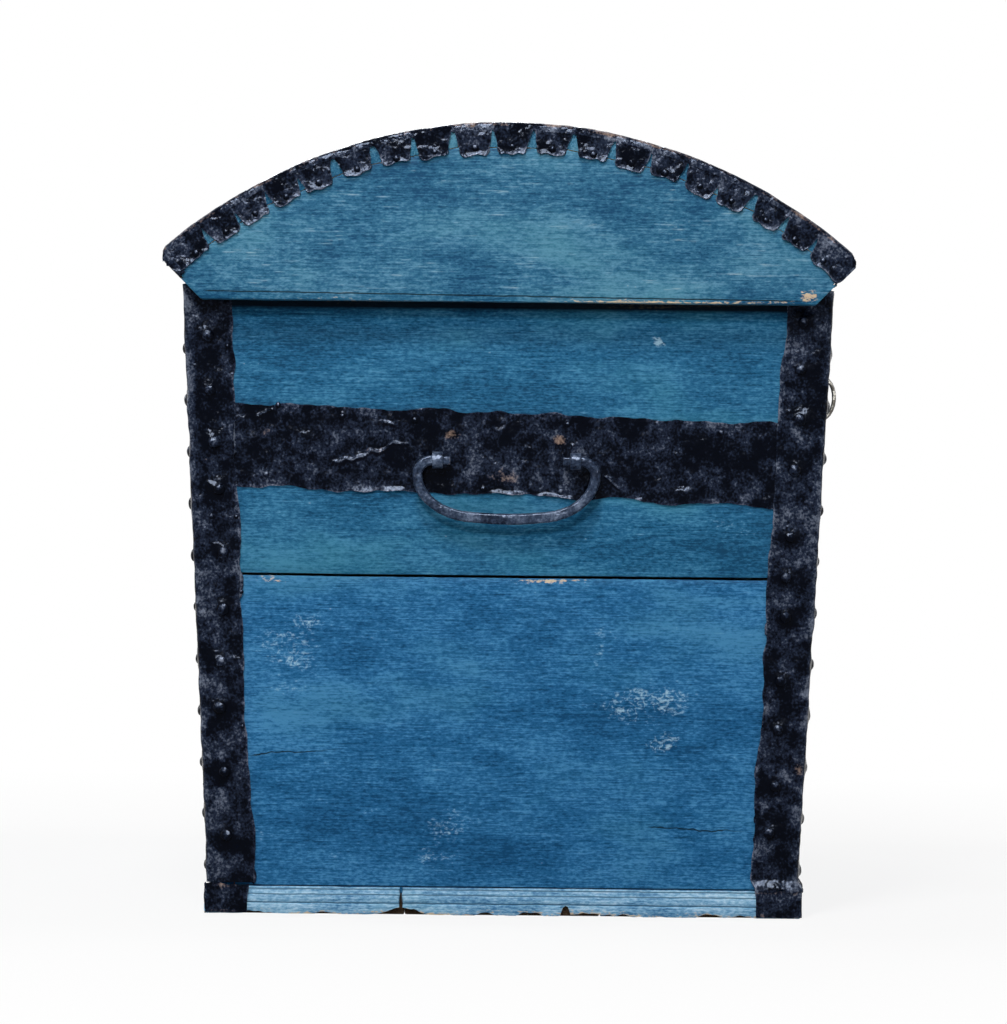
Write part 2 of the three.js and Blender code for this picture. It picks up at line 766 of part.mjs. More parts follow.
// A round-ended arm from a point to the barrel, as thick as the strap.
function barrelArm([y, z], thickness, xRange) {
  const direction = new THREE.Vector2(hingeY - y, hingeZ - z).normalize();
  const across = new THREE.Vector2(-direction.y, direction.x).multiplyScalar(thickness / 2);
  const outline = [
    [y - across.x, z - across.y],
    [hingeY - across.x, hingeZ - across.y],
    [hingeY + across.x, hingeZ + across.y],
    [y + across.x, z + across.y],
  ];
  return alongX(outline, xRange);
}

function makeLidBand(name, middle) {
  const across = [middle - bandWidth / 2, middle + bandWidth / 2];
  const knuckle = [middle - barrelThird / 2, middle + barrelThird / 2];
  const armStart = offsetLine(strapLine(bandFoldDrop), fit + lidStrapThickness / 2).at(-1);
  const nails = [];
  const count = 11;
  for (let i = 0; i < count; i++) {
    const angle = -domeAngle + ((i + 0.5) * 2 * domeAngle) / count;
    const [y, z] = onDome(strapOuter, angle);
    const up = new THREE.Vector3(0, Math.sin(angle), Math.cos(angle));
    nails.push(nailHead(new THREE.Vector3(middle, y, z), up));
  }
  const band = joined([
    domeBand(bandFoldDrop, across),
    barrelArm(armStart, lidStrapThickness, knuckle),
    hingeBar(barrelRadius, knuckle),
    ...nails,
  ]);
  addPiece(name, band.subtract(hingeBar(barrelBore, [across[0] - 5, across[1] + 5])), blackIron);
}

// The nails of a vertical band on the front or back wall, at the same heights as those of the corners.
function bandNails(middle, longSide, count) {
  const nails = [];
  for (let i = 0; i < count; i++) {
    const z = cornerNailTop - (i + 0.5) * nailSpacing;
    const y = longSide * (halfDepth(z) + fit + strapThickness);
    nails.push(nailHead(new THREE.Vector3(middle, y, z), new THREE.Vector3(0, longSide, 0)));
  }
  return nails;
}

function bandStrip(middle, longSide, high) {
  const across = () => [middle - bandWidth / 2, middle + bandWidth / 2];
  return onLong(longSide, [fit, fit + strapThickness], across, plinthHeight + 3, high);
}

function makeFrontBand(name, middle) {
  const nails = bandNails(middle, -1, cornerNailCount - 1);
  addPiece(name, joined([bandStrip(middle, -1, rimHeight - 4), ...nails]), blackIron);
}

function makeBackBand(name, middle) {
  const low = rimHeight - 10;
  const start = [halfDepth(low) + fit + strapThickness / 2, low];
  const pieces = [bandStrip(middle, 1, low + 1), ...bandNails(middle, 1, cornerNailCount - 1)];
  const half = bandWidth / 2;
  const gap = barrelThird / 2 + fit;
  for (const range of [[middle - half, middle - gap], [middle + gap, middle + half]]) {
    pieces.push(barrelArm(start, strapThickness, range), hingeBar(barrelRadius, range));
  }
  const bore = hingeBar(barrelBore, [middle - half - 5, middle + half + 5]);
  addPiece(name, joined(pieces).subtract(bore), blackIron);
}

function makeHingePin(name, middle) {
  const half = bandWidth / 2 + fit;
  const pin = joined([
    hingeBar(pinRadius, [middle - half - 1, middle + half + 1]),
    hingeBar(pinHeadRadius, [middle - half - pinHeadLength, middle - half], 12),
    hingeBar(pinHeadRadius, [middle + half, middle + half + pinHeadLength], 12),
  ]);
  addPiece(name, pin, forgedIron);
}

// The lock is built in a frame that leans with the front: y runs inwards from the face of the wood and z runs
// up the board, both from the middle of the keyhole.
const lockFrame = new THREE.Group();
const keyHeight = rimHeight - keyDrop * Math.cos(leanAngle);
lockFrame.position.set(0, -halfDepth(keyHeight), keyHeight);
lockFrame.rotation.x = leanAngle;
lockFrame.updateMatrixWorld(true);
coffer.add(lockFrame);

const boardDepth = boardThickness * Math.cos(leanAngle);
const plateFront = boardDepth + fit;
const plateBack = plateFront + lockSheet;
const caseFront = plateBack + fit;
const caseBack = caseFront + lockDepth;
const boltFront = (caseFront + caseBack - boltThickness) / 2;

function intoFront(solid) {
  return solidFrom(geometryFrom(solid).applyMatrix4(lockFrame.matrixWorld));
}

// The keyhole: a round hole for the shank over a slot for the bit.
function keyhole(yRange) {
  const slot = keyBitThickness / 2 + keyholeGap;
  const start = new THREE.Vector3(0, yRange[0], 0);
  const length = yRange[1] - yRange[0];
  const round = roundBar(start, new THREE.Vector3(0, 1, 0), length, keyShankRadius + keyholeGap);
  return round.add(box([-slot, slot], yRange, [-keyBitReach - 1.5, 0]));
}

function makeEscutcheon() {
  const yRange = [-fit - lockSheet, -fit];
  const [w, h] = [escutcheonWidth / 2, escutcheonHeight / 2];
  const low = -h - 6;
  const outline = [
    [-w * 0.55, h],
    [-w, h - 16],
    [-w * 0.8, 0],
    [-w, low + 34],
    [-w * 0.4, low + 12],
    [0, low],
    [w * 0.4, low + 12],
    [w, low + 34],
    [w * 0.8, 0],
    [w, h - 16],
    [w * 0.55, h],
  ];
  const tacks = [
    [0, h - 8],
    [-w + 8, h - 18],
    [w - 8, h - 18],
    [-w + 10, low + 34],
    [w - 10, low + 34],
    [0, low + 12],
  ].map(([x, z]) => tackHead(new THREE.Vector3(x, yRange[0], z), new THREE.Vector3(0, -1, 0)));
  const plate = joined([alongY(outline, yRange), ...tacks]);
  addPiece("escutcheon", plate.subtract(keyhole([-10, 5])), blackIron, lockFrame);
}

// The plate behind the lock, with the two channels that the bolt slides in.
function makeLockPlate() {
  const half = lockWidth / 2;
  const plate = box([-half, half], [plateFront, plateBack], [-lockBelowKey, lockAboveKey]);
  const channels = [];
  for (const middle of channelMiddles) {
    const [from, to] = [middle - channelWidth / 2, middle + channelWidth / 2];
    const lip = channelLip;
    const [low, high] = [boltAboveKey - fit, boltAboveKey + boltHeight + fit];
    channels.push(
      box([from, to], [plateBack - 0.5, boltFront - fit], [low - lip, high + lip]),
      box([from, to], [boltFront - fit - 1, boltFront + boltThickness], [low - lip, low]),
      box([from, to], [boltFront - fit - 1, boltFront + boltThickness], [high, high + lip]),
    );
  }
  const solid = joined([plate, ...channels]).subtract(keyhole([plateFront - cutOver, plateBack + cutOver]));
  addPiece("lock_plate", solid, greyIron, lockFrame);
}

// The case over the works, open towards the plate, with a slot in its top for the lid's catch.
function makeLockCase() {
  const half = lockWidth / 2 - caseInset;
  const [low, high] = [-lockBelowKey + caseInset, lockAboveKey];
  const outer = box([-half, half], [caseFront, caseBack], [low, high]);
  const inner = box(
    [-half + lockSheet, half - lockSheet],
    [caseFront - cutOver, caseBack - lockSheet],
    [low + lockSheet, high - lockSheet],
  );
  const slot = box(
    [catchPosition - catchThickness / 2 - slotPlay, catchPosition + catchThickness / 2 + slotPlay],
    [caseFront - cutOver, caseBack - lockSheet],
    [high - cutOver, high + cutOver],
  );
  const journal = roundBar(
    new THREE.Vector3(0, caseBack - cutOver / 2, 0),
    new THREE.Vector3(0, 1, 0),
    cutOver,
    keyShankRadius + journalGap,
  );
  addPiece("lock_case", outer.subtract(inner).subtract(slot).subtract(journal), greyIron, lockFrame);
}

// The bolt: a bar with a wide notch for the key's bit and a riser to the head near the rim.
function makeBolt() {
  const low = boltAboveKey;
  const high = boltAboveKey + boltHeight;
  const tip = catchPosition - catchThickness / 2 - boltTipGap;
  const boltEnd = lockWidth / 2 - caseInset - lockSheet - boltTravel - boltEndGap;
  const outline = [
    [boltStart, low],
    [boltNotch[0], low],
    [boltNotch[0], low + notchDepth],
    [boltNotch[1], low + notchDepth],
    [boltNotch[1], low],
    [boltEnd, low],
    [boltEnd, high],
    [boltRiser[1], high],
    [boltRiser[1], boltHeadAboveKey],
    [tip, boltHeadAboveKey],
    [tip, boltHeadAboveKey + boltHeadHeight],
    [boltRiser[0], boltHeadAboveKey + boltHeadHeight],
    [boltRiser[0], high],
    [boltStart, high],
  ];
  addPiece("lock_bolt", alongY(outline, [boltFront, boltFront + boltThickness]), greyIron, lockFrame);
}

// A flat spring that is held by the case's side and bears on the bolt.
function makeLockSpring() {
  const left = -lockWidth / 2 + caseInset + lockSheet + fit;
  const rest = boltAboveKey + boltHeight + fit;
  const outline = [
    [left, rest + springRise + springSeat],
    [left, rest + springRise],
    [springFoot[0], rest],
    [springFoot[1], rest],
    [springFoot[1], rest + springSheet],
    [springFoot[0] + springSheet / 2, rest + springSheet],
    [left + springSheet, rest + springRise + springSheet / 2],
    [left + springSheet, rest + springRise + springSeat],
  ];
  addPiece("lock_spring", alongY(outline, [boltFront, boltFront + boltThickness]), greyIron, lockFrame);
}

function makeKey() {
  const inwards = new THREE.Vector3(0, 1, 0);
  const front = -fit - lockSheet - keyNeck;
  const shank = roundBar(new THREE.Vector3(0, front, 0), inwards, caseBack + 3 - front, keyShankRadius);
  const collar = roundBar(new THREE.Vector3(0, front + 7, 0), inwards, 4, keyShankRadius + 2);
  const bitBack = caseBack - lockSheet - 2;
  const half = keyBitThickness / 2;
  const bit = box([-half, half], [bitBack - keyBitWidth, bitBack], [-keyBitReach, 0]);
  const ward = box([-half - 1, half + 1], [bitBack - 9, bitBack - 6.5], [-keyBitReach - 1, -keyBitReach + 5]);
  const bow = keyBow(front - bowHalfLength + 2);
  addPiece("key", joined([shank, collar, bit.subtract(ward), bow]), greyIron, lockFrame);
}

// The key's bow: a ring drawn out to an oval, with round wire all the way.
function keyBow(middle) {
  const tube = 0.5;
  const bow = new THREE.TorusGeometry(1, tube, 6, 24);
  const position = bow.attributes.position;
  for (let i = 0; i < position.count; i++) {
    const flat = new THREE.Vector2(position.getX(i), position.getY(i));
    const round = flat.clone().normalize();
    const out = ((flat.length() - 1) / tube) * bowWire;
    position.setXYZ(
      i,
      (position.getZ(i) / tube) * bowWire,
      middle + round.x * (bowHalfLength - bowWire + out),
      round.y * (bowHalfHeight - bowWire + out),
    );
  }
  return solidFrom(bow);
}

// The catch under the lid's front rail: a plate with a hole that the bolt passes through. It hangs square to
// the rim, in line with the works of the lock.
function makeCatch() {
  const middle = -(rimDepth / 2 - boardThickness - fit - lockSheet - fit - lockDepth / 2);
  const head = new THREE.Vector3(0, boltFront + boltThickness / 2, boltHeadAboveKey + boltHeadHeight / 2);
  head.applyMatrix4(lockFrame.matrixWorld);
  const top = rimHeight;
  const holeHalf = boltHeadHeight / 2 + 2;
  const xRange = [catchPosition - catchThickness / 2, catchPosition + catchThickness / 2];
  const around = (centre, width) => [centre - width / 2, centre + width / 2];
  const baseDepth = around(middle, catchBaseDepth);
  const base = box(around(catchPosition, catchBaseWidth), baseDepth, [top - catchBaseSheet, top]);
  const plateLow = head.z - holeHalf - catchPlateFoot;
  const plate = box(xRange, around(middle, catchPlateDepth), [plateLow, top - catchBaseSheet / 2]);
  const hole = box(
    [xRange[0] - 5, xRange[1] + 5],
    [head.y - boltThickness / 2 - 1.5, head.y + boltThickness / 2 + 1.5],
    [head.z - holeHalf, head.z + holeHalf],
  );
  addPiece("lid_catch", base.add(plate).subtract(hole), greyIron);
}

// Assembly
for (const [name, side] of [["left", -1], ["right", 1]]) {
  makeEndBoards(`${name}_end`, side);
  makeEndBand(`${name}_end_band`, side);
  makeStaple(`${name}_staple_front`, side, -1);
  makeStaple(`${name}_staple_back`, side, 1);
  makeBail(`${name}_handle`, side);
  makeLidEnd(`lid_end_${name}`, side);
  makeLidEndStrap(`lid_end_strap_${name}`, side);
  makeLidBand(`lid_band_${name}`, side * bandSpread);
  makeFrontBand(`front_band_${name}`, side * bandSpread);
  makeBackBand(`hinge_band_${name}`, side * bandSpread);
  makeHingePin(`hinge_pin_${name}`, side * bandSpread);
}
makeLongBoards("front", -1);
makeLongBoards("back", 1);
makeFloor();
makePlinth();
makeCornerStraps();
makeShoes();
makeStaves();
makeLidRail("lid_rail_front", -1);
makeLidRail("lid_rail_back", 1);
makeEscutcheon();
makeLockPlate();
makeLockCase();
makeBolt();
makeLockSpring();
makeKey();
makeCatch();

export default coffer;
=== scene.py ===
# %% [markdown]
# # An iron-bound coffer with a domed lid
#
# The coffer is a painted wooden chest whose walls lean in towards the ground, with sheet iron nailed over
# every corner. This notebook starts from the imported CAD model, puts the camera where the photographer
# stood, and then dresses each piece: boards get worn edges and old paint, iron gets lumps, wavy edges and
# nails.

import json
import math
import random

import bmesh
import bpy
from mathutils import Euler, Matrix, Vector, noise


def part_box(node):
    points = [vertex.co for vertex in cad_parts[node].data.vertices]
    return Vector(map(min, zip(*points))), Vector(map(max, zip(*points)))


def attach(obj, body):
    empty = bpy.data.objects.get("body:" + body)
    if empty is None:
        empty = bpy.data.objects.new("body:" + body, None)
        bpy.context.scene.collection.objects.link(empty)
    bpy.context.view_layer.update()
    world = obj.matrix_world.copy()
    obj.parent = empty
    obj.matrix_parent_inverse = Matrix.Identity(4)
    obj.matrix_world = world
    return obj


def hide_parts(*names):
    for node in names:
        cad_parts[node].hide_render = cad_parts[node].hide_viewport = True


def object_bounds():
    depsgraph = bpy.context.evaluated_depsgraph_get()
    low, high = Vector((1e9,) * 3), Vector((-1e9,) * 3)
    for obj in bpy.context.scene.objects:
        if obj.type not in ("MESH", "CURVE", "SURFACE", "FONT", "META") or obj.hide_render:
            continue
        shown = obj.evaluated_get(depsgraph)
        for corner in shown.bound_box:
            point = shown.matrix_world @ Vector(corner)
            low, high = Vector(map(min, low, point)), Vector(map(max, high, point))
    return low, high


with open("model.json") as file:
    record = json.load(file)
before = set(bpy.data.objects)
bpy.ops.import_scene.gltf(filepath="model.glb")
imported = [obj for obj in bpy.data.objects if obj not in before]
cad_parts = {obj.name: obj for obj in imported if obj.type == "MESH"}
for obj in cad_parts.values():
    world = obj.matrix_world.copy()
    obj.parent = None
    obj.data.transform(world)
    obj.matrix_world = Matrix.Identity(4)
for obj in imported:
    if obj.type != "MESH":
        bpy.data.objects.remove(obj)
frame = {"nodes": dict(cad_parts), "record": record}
cad_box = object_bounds()
nodes = frame["nodes"]
record = frame["record"]
triangles = sum(len(node.data.polygons) for node in nodes.values())
print("CAD nodes:", len(nodes), "with", triangles, "triangles")

# %% [markdown]
# ## Sizes
#
# Everything is in metres. The walls lean, so the half length and half depth are functions of the height.
# The photographed end is at -X, and the front of the coffer is at -Y, which is the right of the picture.

# %% Driving sizes
MM = 0.001
rim_length = 1130 * MM  # over the walls, where the lid closes on them
rim_depth = 618 * MM
rim_height = 605 * MM
wall_lean = 29 * MM  # how much further in each wall stands at the ground than at the rim
plinth_height = 26 * MM
plinth_depth = 5 * MM
fit = 0.3 * MM  # the gap between neighbours
dome_radius = 498 * MM
side_overhang = 17.5 * MM  # of the lid over the long walls
end_overhang = 28 * MM
corner_rise = 20 * MM  # the lid's slanted lower corner reaches this far above the rim
edge_width = 9.5 * MM  # of the lid's upright edge, above that corner

lid_half_depth = rim_depth / 2 + side_overhang
lid_half_length = rim_length / 2 + end_overhang
edge_low = rim_height + corner_rise
edge_high = edge_low + edge_width
dome_angle = math.asin(lid_half_depth / dome_radius)
dome_centre = edge_high - dome_radius * math.cos(dome_angle)


def half_length(z):
    return rim_length / 2 - wall_lean * (1 - z / rim_height)


def half_depth(z):
    return rim_depth / 2 - wall_lean * (1 - z / rim_height)


print("dome half angle:", round(math.degrees(dome_angle), 2))

# %% [markdown]
# ## The camera
#
# The photographer stood well back and looked square at the end of the coffer, a little above its middle. A
# long lens keeps the sides hidden. The coffer leans a little to the right in the picture, so the camera is
# rolled by the same small angle.

# %% Camera
view_distance = 4.5
view_height = 972.8 * MM  # what the picture's height covers on the end of the coffer
camera_height = 388 * MM
camera_side = 2.4 * MM
camera_roll = math.radians(0.6)

camera_data = bpy.data.cameras.new("camera")
camera_data.sensor_fit = "VERTICAL"
camera_data.sensor_height = 36
camera_data.lens = camera_data.sensor_height * view_distance / view_height
camera = bpy.data.objects.new("camera", camera_data)
bpy.context.scene.collection.objects.link(camera)
camera.location = (-lid_half_length - view_distance, camera_side, camera_height)
facing = Euler((math.pi / 2, 0, -math.pi / 2)).to_matrix()
camera.rotation_euler = (facing @ Matrix.Rotation(camera_roll, 3, "Z")).to_euler()
bpy.context.scene.camera = camera
bpy.context.scene.view_settings.view_transform = "Standard"
print("lens:", round(camera_data.lens, 1), "mm")

# %% [markdown]
# ## Two small helpers
#
# Colours are written as the sRGB hex codes that a colour picker shows, and one function turns them into the
# linear numbers that shaders use. One more function adds a shader node, sets it up and links its inputs.


# %% Colours
WHITE = (1, 1, 1, 1)


def colour(code):
    def linear(value):
        return value / 12.92 if value <= 0.04045 else ((value + 0.055) / 1.055) ** 2.4

    channels = [int(code[i : i + 2], 16) / 255 for i in (1, 3, 5)]
    return (*[linear(channel) for channel in channels], 1)


print("mid grey as a linear number:", round(colour("#808080")[0], 3))

# %% Nodes
MIX_A, MIX_B, MIX_OUT = 6, 7, 2  # where a Mix node of two colours keeps its colour sockets


def add(tree, kind, inputs=None, stops=None, **settings):
    """inputs gives each socket a fixed value or the output that feeds it. stops are for a colour ramp."""
    node = tree.nodes.new(kind)
    for name, value in settings.items():
        setattr(node, name, value)
    if stops:
        elements = node.color_ramp.elements
        elements.remove(elements[1])
        elements[0].position, elements[0].color = stops[0]
        for place, tone in stops[1:]:
            elements.new(place).color = tone
    for socket, value in (inputs or {}).items():
        if isinstance(value, bpy.types.NodeSocket):
            tree.links.new(value, node.inputs[socket])
        else:
            node.inputs[socket].default_value = value
    return node


def new_material(name):
    material = bpy.data.materials.new(name)
    material.use_nodes = True
    material.node_tree.nodes.clear()
    return material, material.node_tree


print("colour sockets of a Mix node:", MIX_A, MIX_B, "and", MIX_OUT)

# %% [markdown]
# ## Floor, backdrop and light
#
# The picture has a pure white ground. More lamps would reach that white too, but they would bleach the
# paint. So the world and the floor show plain white to the camera, to reflections and through glass, while
# the light on the coffer stays at a level where a colour renders about as it is written. The floor mixes
# its plain white with its own lit shade, which keeps the shadow under the coffer, and is all white further
# out.


# %% What the camera and the reflections see, and the world
def seen_directly(tree):
    """1 for a ray from the camera, off a glossy surface or through glass, and 0 for any other."""
    paths = add(tree, "ShaderNodeLightPath").outputs
    seen = paths["Is Camera Ray"]
    for kind in ("Is Glossy Ray", "Is Transmission Ray"):
        seen = add(tree, "ShaderNodeMath", {0: seen, 1: paths[kind]}, operation="MAXIMUM").outputs[0]
    return seen


room_light = 0.14
world = bpy.data.worlds.new("studio")
bpy.context.scene.world = world
world.use_nodes = True
tree = world.node_tree
tree.nodes.clear()
room = add(tree, "ShaderNodeBackground", {"Color": colour("#f4f6f8"), "Strength": room_light})
plain = add(tree, "ShaderNodeBackground", {"Color": WHITE, "Strength": 1})
shown = add(tree, "ShaderNodeMixShader", {0: seen_directly(tree), 1: room.outputs[0], 2: plain.outputs[0]})
add(tree, "ShaderNodeOutputWorld", {"Surface": shown.outputs[0]})
print("light of the room:", room_light)

# %% Floor
floor_width = 40
plain_share = 0.86  # how much of the floor near the coffer is plain white to the camera, and not lit
shade_end = 0.8  # from here outwards the floor turns to plain white
white_start = 2.0
bpy.ops.object.select_all(action="DESELECT")
bpy.ops.mesh.primitive_plane_add(size=floor_width, location=(0, 0, 0))
floor = bpy.context.object
floor.name = "studio_floor"
material, tree = new_material("matt_pale_studio_floor")
place = add(tree, "ShaderNodeTexCoord").outputs["Object"]
far = add(tree, "ShaderNodeVectorMath", {0: place}, operation="LENGTH").outputs["Value"]
fade = add(tree, "ShaderNodeMapRange", {0: far, 1: shade_end, 2: white_start, 3: plain_share, 4: 1})
lit = add(tree, "ShaderNodeBsdfDiffuse", {"Color": colour("#c6c6c6")})
plain = add(tree, "ShaderNodeEmission", {"Color": WHITE, "Strength": 1})
share = add(tree, "ShaderNodeMath", {0: seen_directly(tree), 1: fade.outputs[0]}, operation="MULTIPLY")
shown = add(tree, "ShaderNodeMixShader", {0: share.outputs[0], 1: lit.outputs[0], 2: plain.outputs[0]})
add(tree, "ShaderNodeOutputMaterial", {"Surface": shown.outputs[0]})
floor.data.materials.append(material)
print("floor:", floor_width, "m wide")

# %% [markdown]
# ## Lamps
#
# A small key lamp and a small lamp high up give the photographed end its soft shadows under the lid and the
# handle, and the darkest band under the lid is also painted into the walls as a painted shadow. A wide lamp
# on each other side keeps the rest of the coffer readable. The white surroundings also dull the black iron,
# so its glints come from four softboxes that only glossy surfaces see: they lay wet highlights on the nails
# and dents and add no light to matt wood. Those at the sides are weak, because iron seen at a flat angle
# mirrors them far more strongly than iron seen from the front.

# %% Lamps
middle = (0, 0, 0.4)


def soft_lamp(name, place, width, power, tint=(1, 1, 1)):
    data = bpy.data.lights.new(name, "AREA")
    data.shape = "SQUARE"
    data.size = width
    data.energy = power
    data.color = tint
    lamp = bpy.data.objects.new(name, data)
    lamp.location = place
    lamp.rotation_euler = (Vector(middle) - Vector(place)).to_track_quat("-Z", "Y").to_euler()
    bpy.context.scene.collection.objects.link(lamp)
    return lamp


for name, place, width, power in (
    ("key", (-3.5, 0.6, 2.1), 0.45, 56),
    ("top", (-2.1, 0.3, 2.6), 0.5, 46),
    ("fill", (-3.4, -2.2, 1.6), 1.4, 8),
    ("front", (0.6, -3.4, 2.2), 1.4, 80),
    ("back", (0.8, 3.4, 2.2), 1.4, 80),
    ("far", (3.6, 0.4, 2.2), 1.4, 85),
):
    soft_lamp(f"{name}_lamp", place, width, power)

# %% Softboxes for the gloss
softbox_width = 1.8
softbox_tint = (0.84, 0.92, 1.0)
for name, place, power in (
    ("end", (-2.6, 0.3, 2.6), 1000),
    ("front", (0.3, -2.6, 2.2), 70),
    ("back", (0.3, 2.6, 2.2), 70),
    ("far", (2.9, 0.3, 2.2), 70),
):
    box = soft_lamp(f"{name}_softbox", place, softbox_width, power, softbox_tint)
    box.visible_diffuse = False
print("lamps:", len(bpy.data.lights))

# %% [markdown]
# ## Patterns of a material
#
# An image would put the same marks on every board. Noise in a piece's own coordinates gives each piece
# marks of its own, at the width that they have on the real one. A pattern is drawn out along the grain by
# squeezing its coordinates that way. Several patterns are then added up, each with its share, or laid over
# each other.


# %% Noise patterns, their sums, and one tone over another
def patterns(tree, place, widths, grain=None):
    """widths gives each pattern its squeeze along the grain, width, detail, roughness and distortion."""
    found = {}
    for name, (squeeze, width, detail, roughness, distortion) in widths.items():
        scale = [squeeze if axis == grain else 1 for axis in "XYZ"]
        way = add(tree, "ShaderNodeMapping", {"Vector": place, "Scale": scale}).outputs[0]
        look = {"Detail": detail, "Roughness": roughness, "Distortion": distortion}
        noisy = add(tree, "ShaderNodeTexNoise", {"Vector": way, "Scale": 1 / width, **look})
        found[name] = noisy.outputs["Fac"]
    return found


def added_up(tree, *parts):
    """The sum of patterns, each given with its share."""
    total = 0
    for pattern, share in parts:
        term = {0: pattern, 1: share, 2: total}
        total = add(tree, "ShaderNodeMath", term, operation="MULTIPLY_ADD").outputs[0]
    return total


def laid_over(tree, under, tone, pattern, start=0, end=1, at_start=0, at_end=1):
    """One tone over another. Its share goes from at_start to at_end where the pattern goes start to end."""
    share = add(tree, "ShaderNodeMapRange", {0: pattern, 1: start, 2: end, 3: at_start, 4: at_end})
    tones = {0: share.outputs[0], MIX_A: under, MIX_B: tone}
    return add(tree, "ShaderNodeMix", tones, data_type="RGBA").outputs[MIX_OUT]


print("scale of a pattern that is 10 mm wide:", round(1 / (10 * MM)))

# %% [markdown]
# ## Cracks in a board
#
# The photographed end has a few long cracks and a joint over its plinth. They are too thin to be worth
# points in the mesh, so they are dark lines in the paint. The three grooves cut into the plinth get the
# same lines, as a painted shade in their hollows. A crack runs from one place to another, strays a little
# on its way and thins out at its ends.

# %% One crack
crack_swing = 22 * MM  # how far a crack runs before it strays the other way
crack_core = 0.2 * MM  # half the width that is quite dark
crack_half = 0.9 * MM  # half the whole width, soft edges included


def crack_line(tree, place, start, end, wander):
    """1 inside a crack from one (y, z) in mm to another that strays by wander, and 0 outside it."""
    y, z = add(tree, "ShaderNodeSeparateXYZ", {0: place}).outputs[1:]
    (y0, z0), (y1, z1) = sorted((start, end))
    swing = patterns(tree, place, {"swing": (1, crack_swing, 3, 0.5, 0)})["swing"]
    parts = {}
    for name, numbers in (
        ("run", (y, y0 * MM, y1 * MM, z0 * MM, z1 * MM)),
        ("swing", (swing, 0, 1, -wander * MM, wander * MM)),
        ("first end", (y, y0 * MM, (y0 + 30) * MM, 0, 1)),
        ("last end", (y, (y1 - 5) * MM, y1 * MM, 1, 0)),
    ):
        parts[name] = add(tree, "ShaderNodeMapRange", dict(enumerate(numbers))).outputs[0]
    above = added_up(tree, (parts["run"], 1), (parts["swing"], 1), (z, -1))
    away = add(tree, "ShaderNodeMath", {0: above}, operation="ABSOLUTE").outputs[0]
    inside = add(tree, "ShaderNodeMapRange", {0: away, 1: crack_core, 2: crack_half, 3: 1, 4: 0}).outputs[0]
    for name in ("first end", "last end"):
        inside = add(tree, "ShaderNodeMath", {0: inside, 1: parts[name]}, operation="MULTIPLY").outputs[0]
    return inside


print("width of a crack:", round(2 * crack_half / MM, 1), "mm")

# %% [markdown]
# ## Paint over wood
#
# The boards are softwood, brushed with a thin casein paint and handled for a long time. Casein paint is
# nearly matt: it throws back hardly any reflection, and its tone changes softly over a hand's width and
# again over a finger's width, where it went on thinner or thicker. The wood's fibres show through it as
# fine lines along the board. Where feet and other luggage rubbed there are curled pale scuffs, the high
# spots wear to chalky dots and dashes, and where an edge was knocked the bare wood shows. Points of each
# board carry how much it is rubbed, knocked and faded there, so that the photographed end can be worn where
# the real one is.

# %% Widths of the paint's patterns
brushed = 0.4
fibrous = 0.05
wood_patterns = {
    "speckle": (brushed, 2.0 * MM, 4, 0.65, 0),
    "fibres": (fibrous, 1.4 * MM, 5, 0.6, 0.2),  # real ones are finer, and wouldn't show in the picture
    "rings": (fibrous, 11 * MM, 4, 0.55, 0.8),
    "mottle": (brushed, 26 * MM, 7, 0.66, 0),
    "patches": (brushed, 85 * MM, 4, 0.55, 0),
    "curls": (1, 8 * MM, 1.5, 0.5, 0.7),
}
# Between these two heights the walls' paint turns almost black: a painted shadow under the lid's overhang.
lid_shadow_low = 578.5 * MM  # under the lid's overhang
lid_shadow_high = 583 * MM
print("widths of the patterns in mm:", [round(row[1] / MM, 1) for row in wood_patterns.values()])


# %% Painted wood
def curled_strokes(tree, curls):
    """Thin curled lines: they follow the places where the pattern is just at its middle."""
    centred = add(tree, "ShaderNodeMath", {0: curls, 1: 2, 2: -1}, operation="MULTIPLY_ADD")
    off_line = add(tree, "ShaderNodeMath", {0: centred.outputs[0]}, operation="ABSOLUTE").outputs[0]
    return add(tree, "ShaderNodeMapRange", {0: off_line, 1: 0.03, 2: 0.12, 3: 1, 4: 0}).outputs[0]


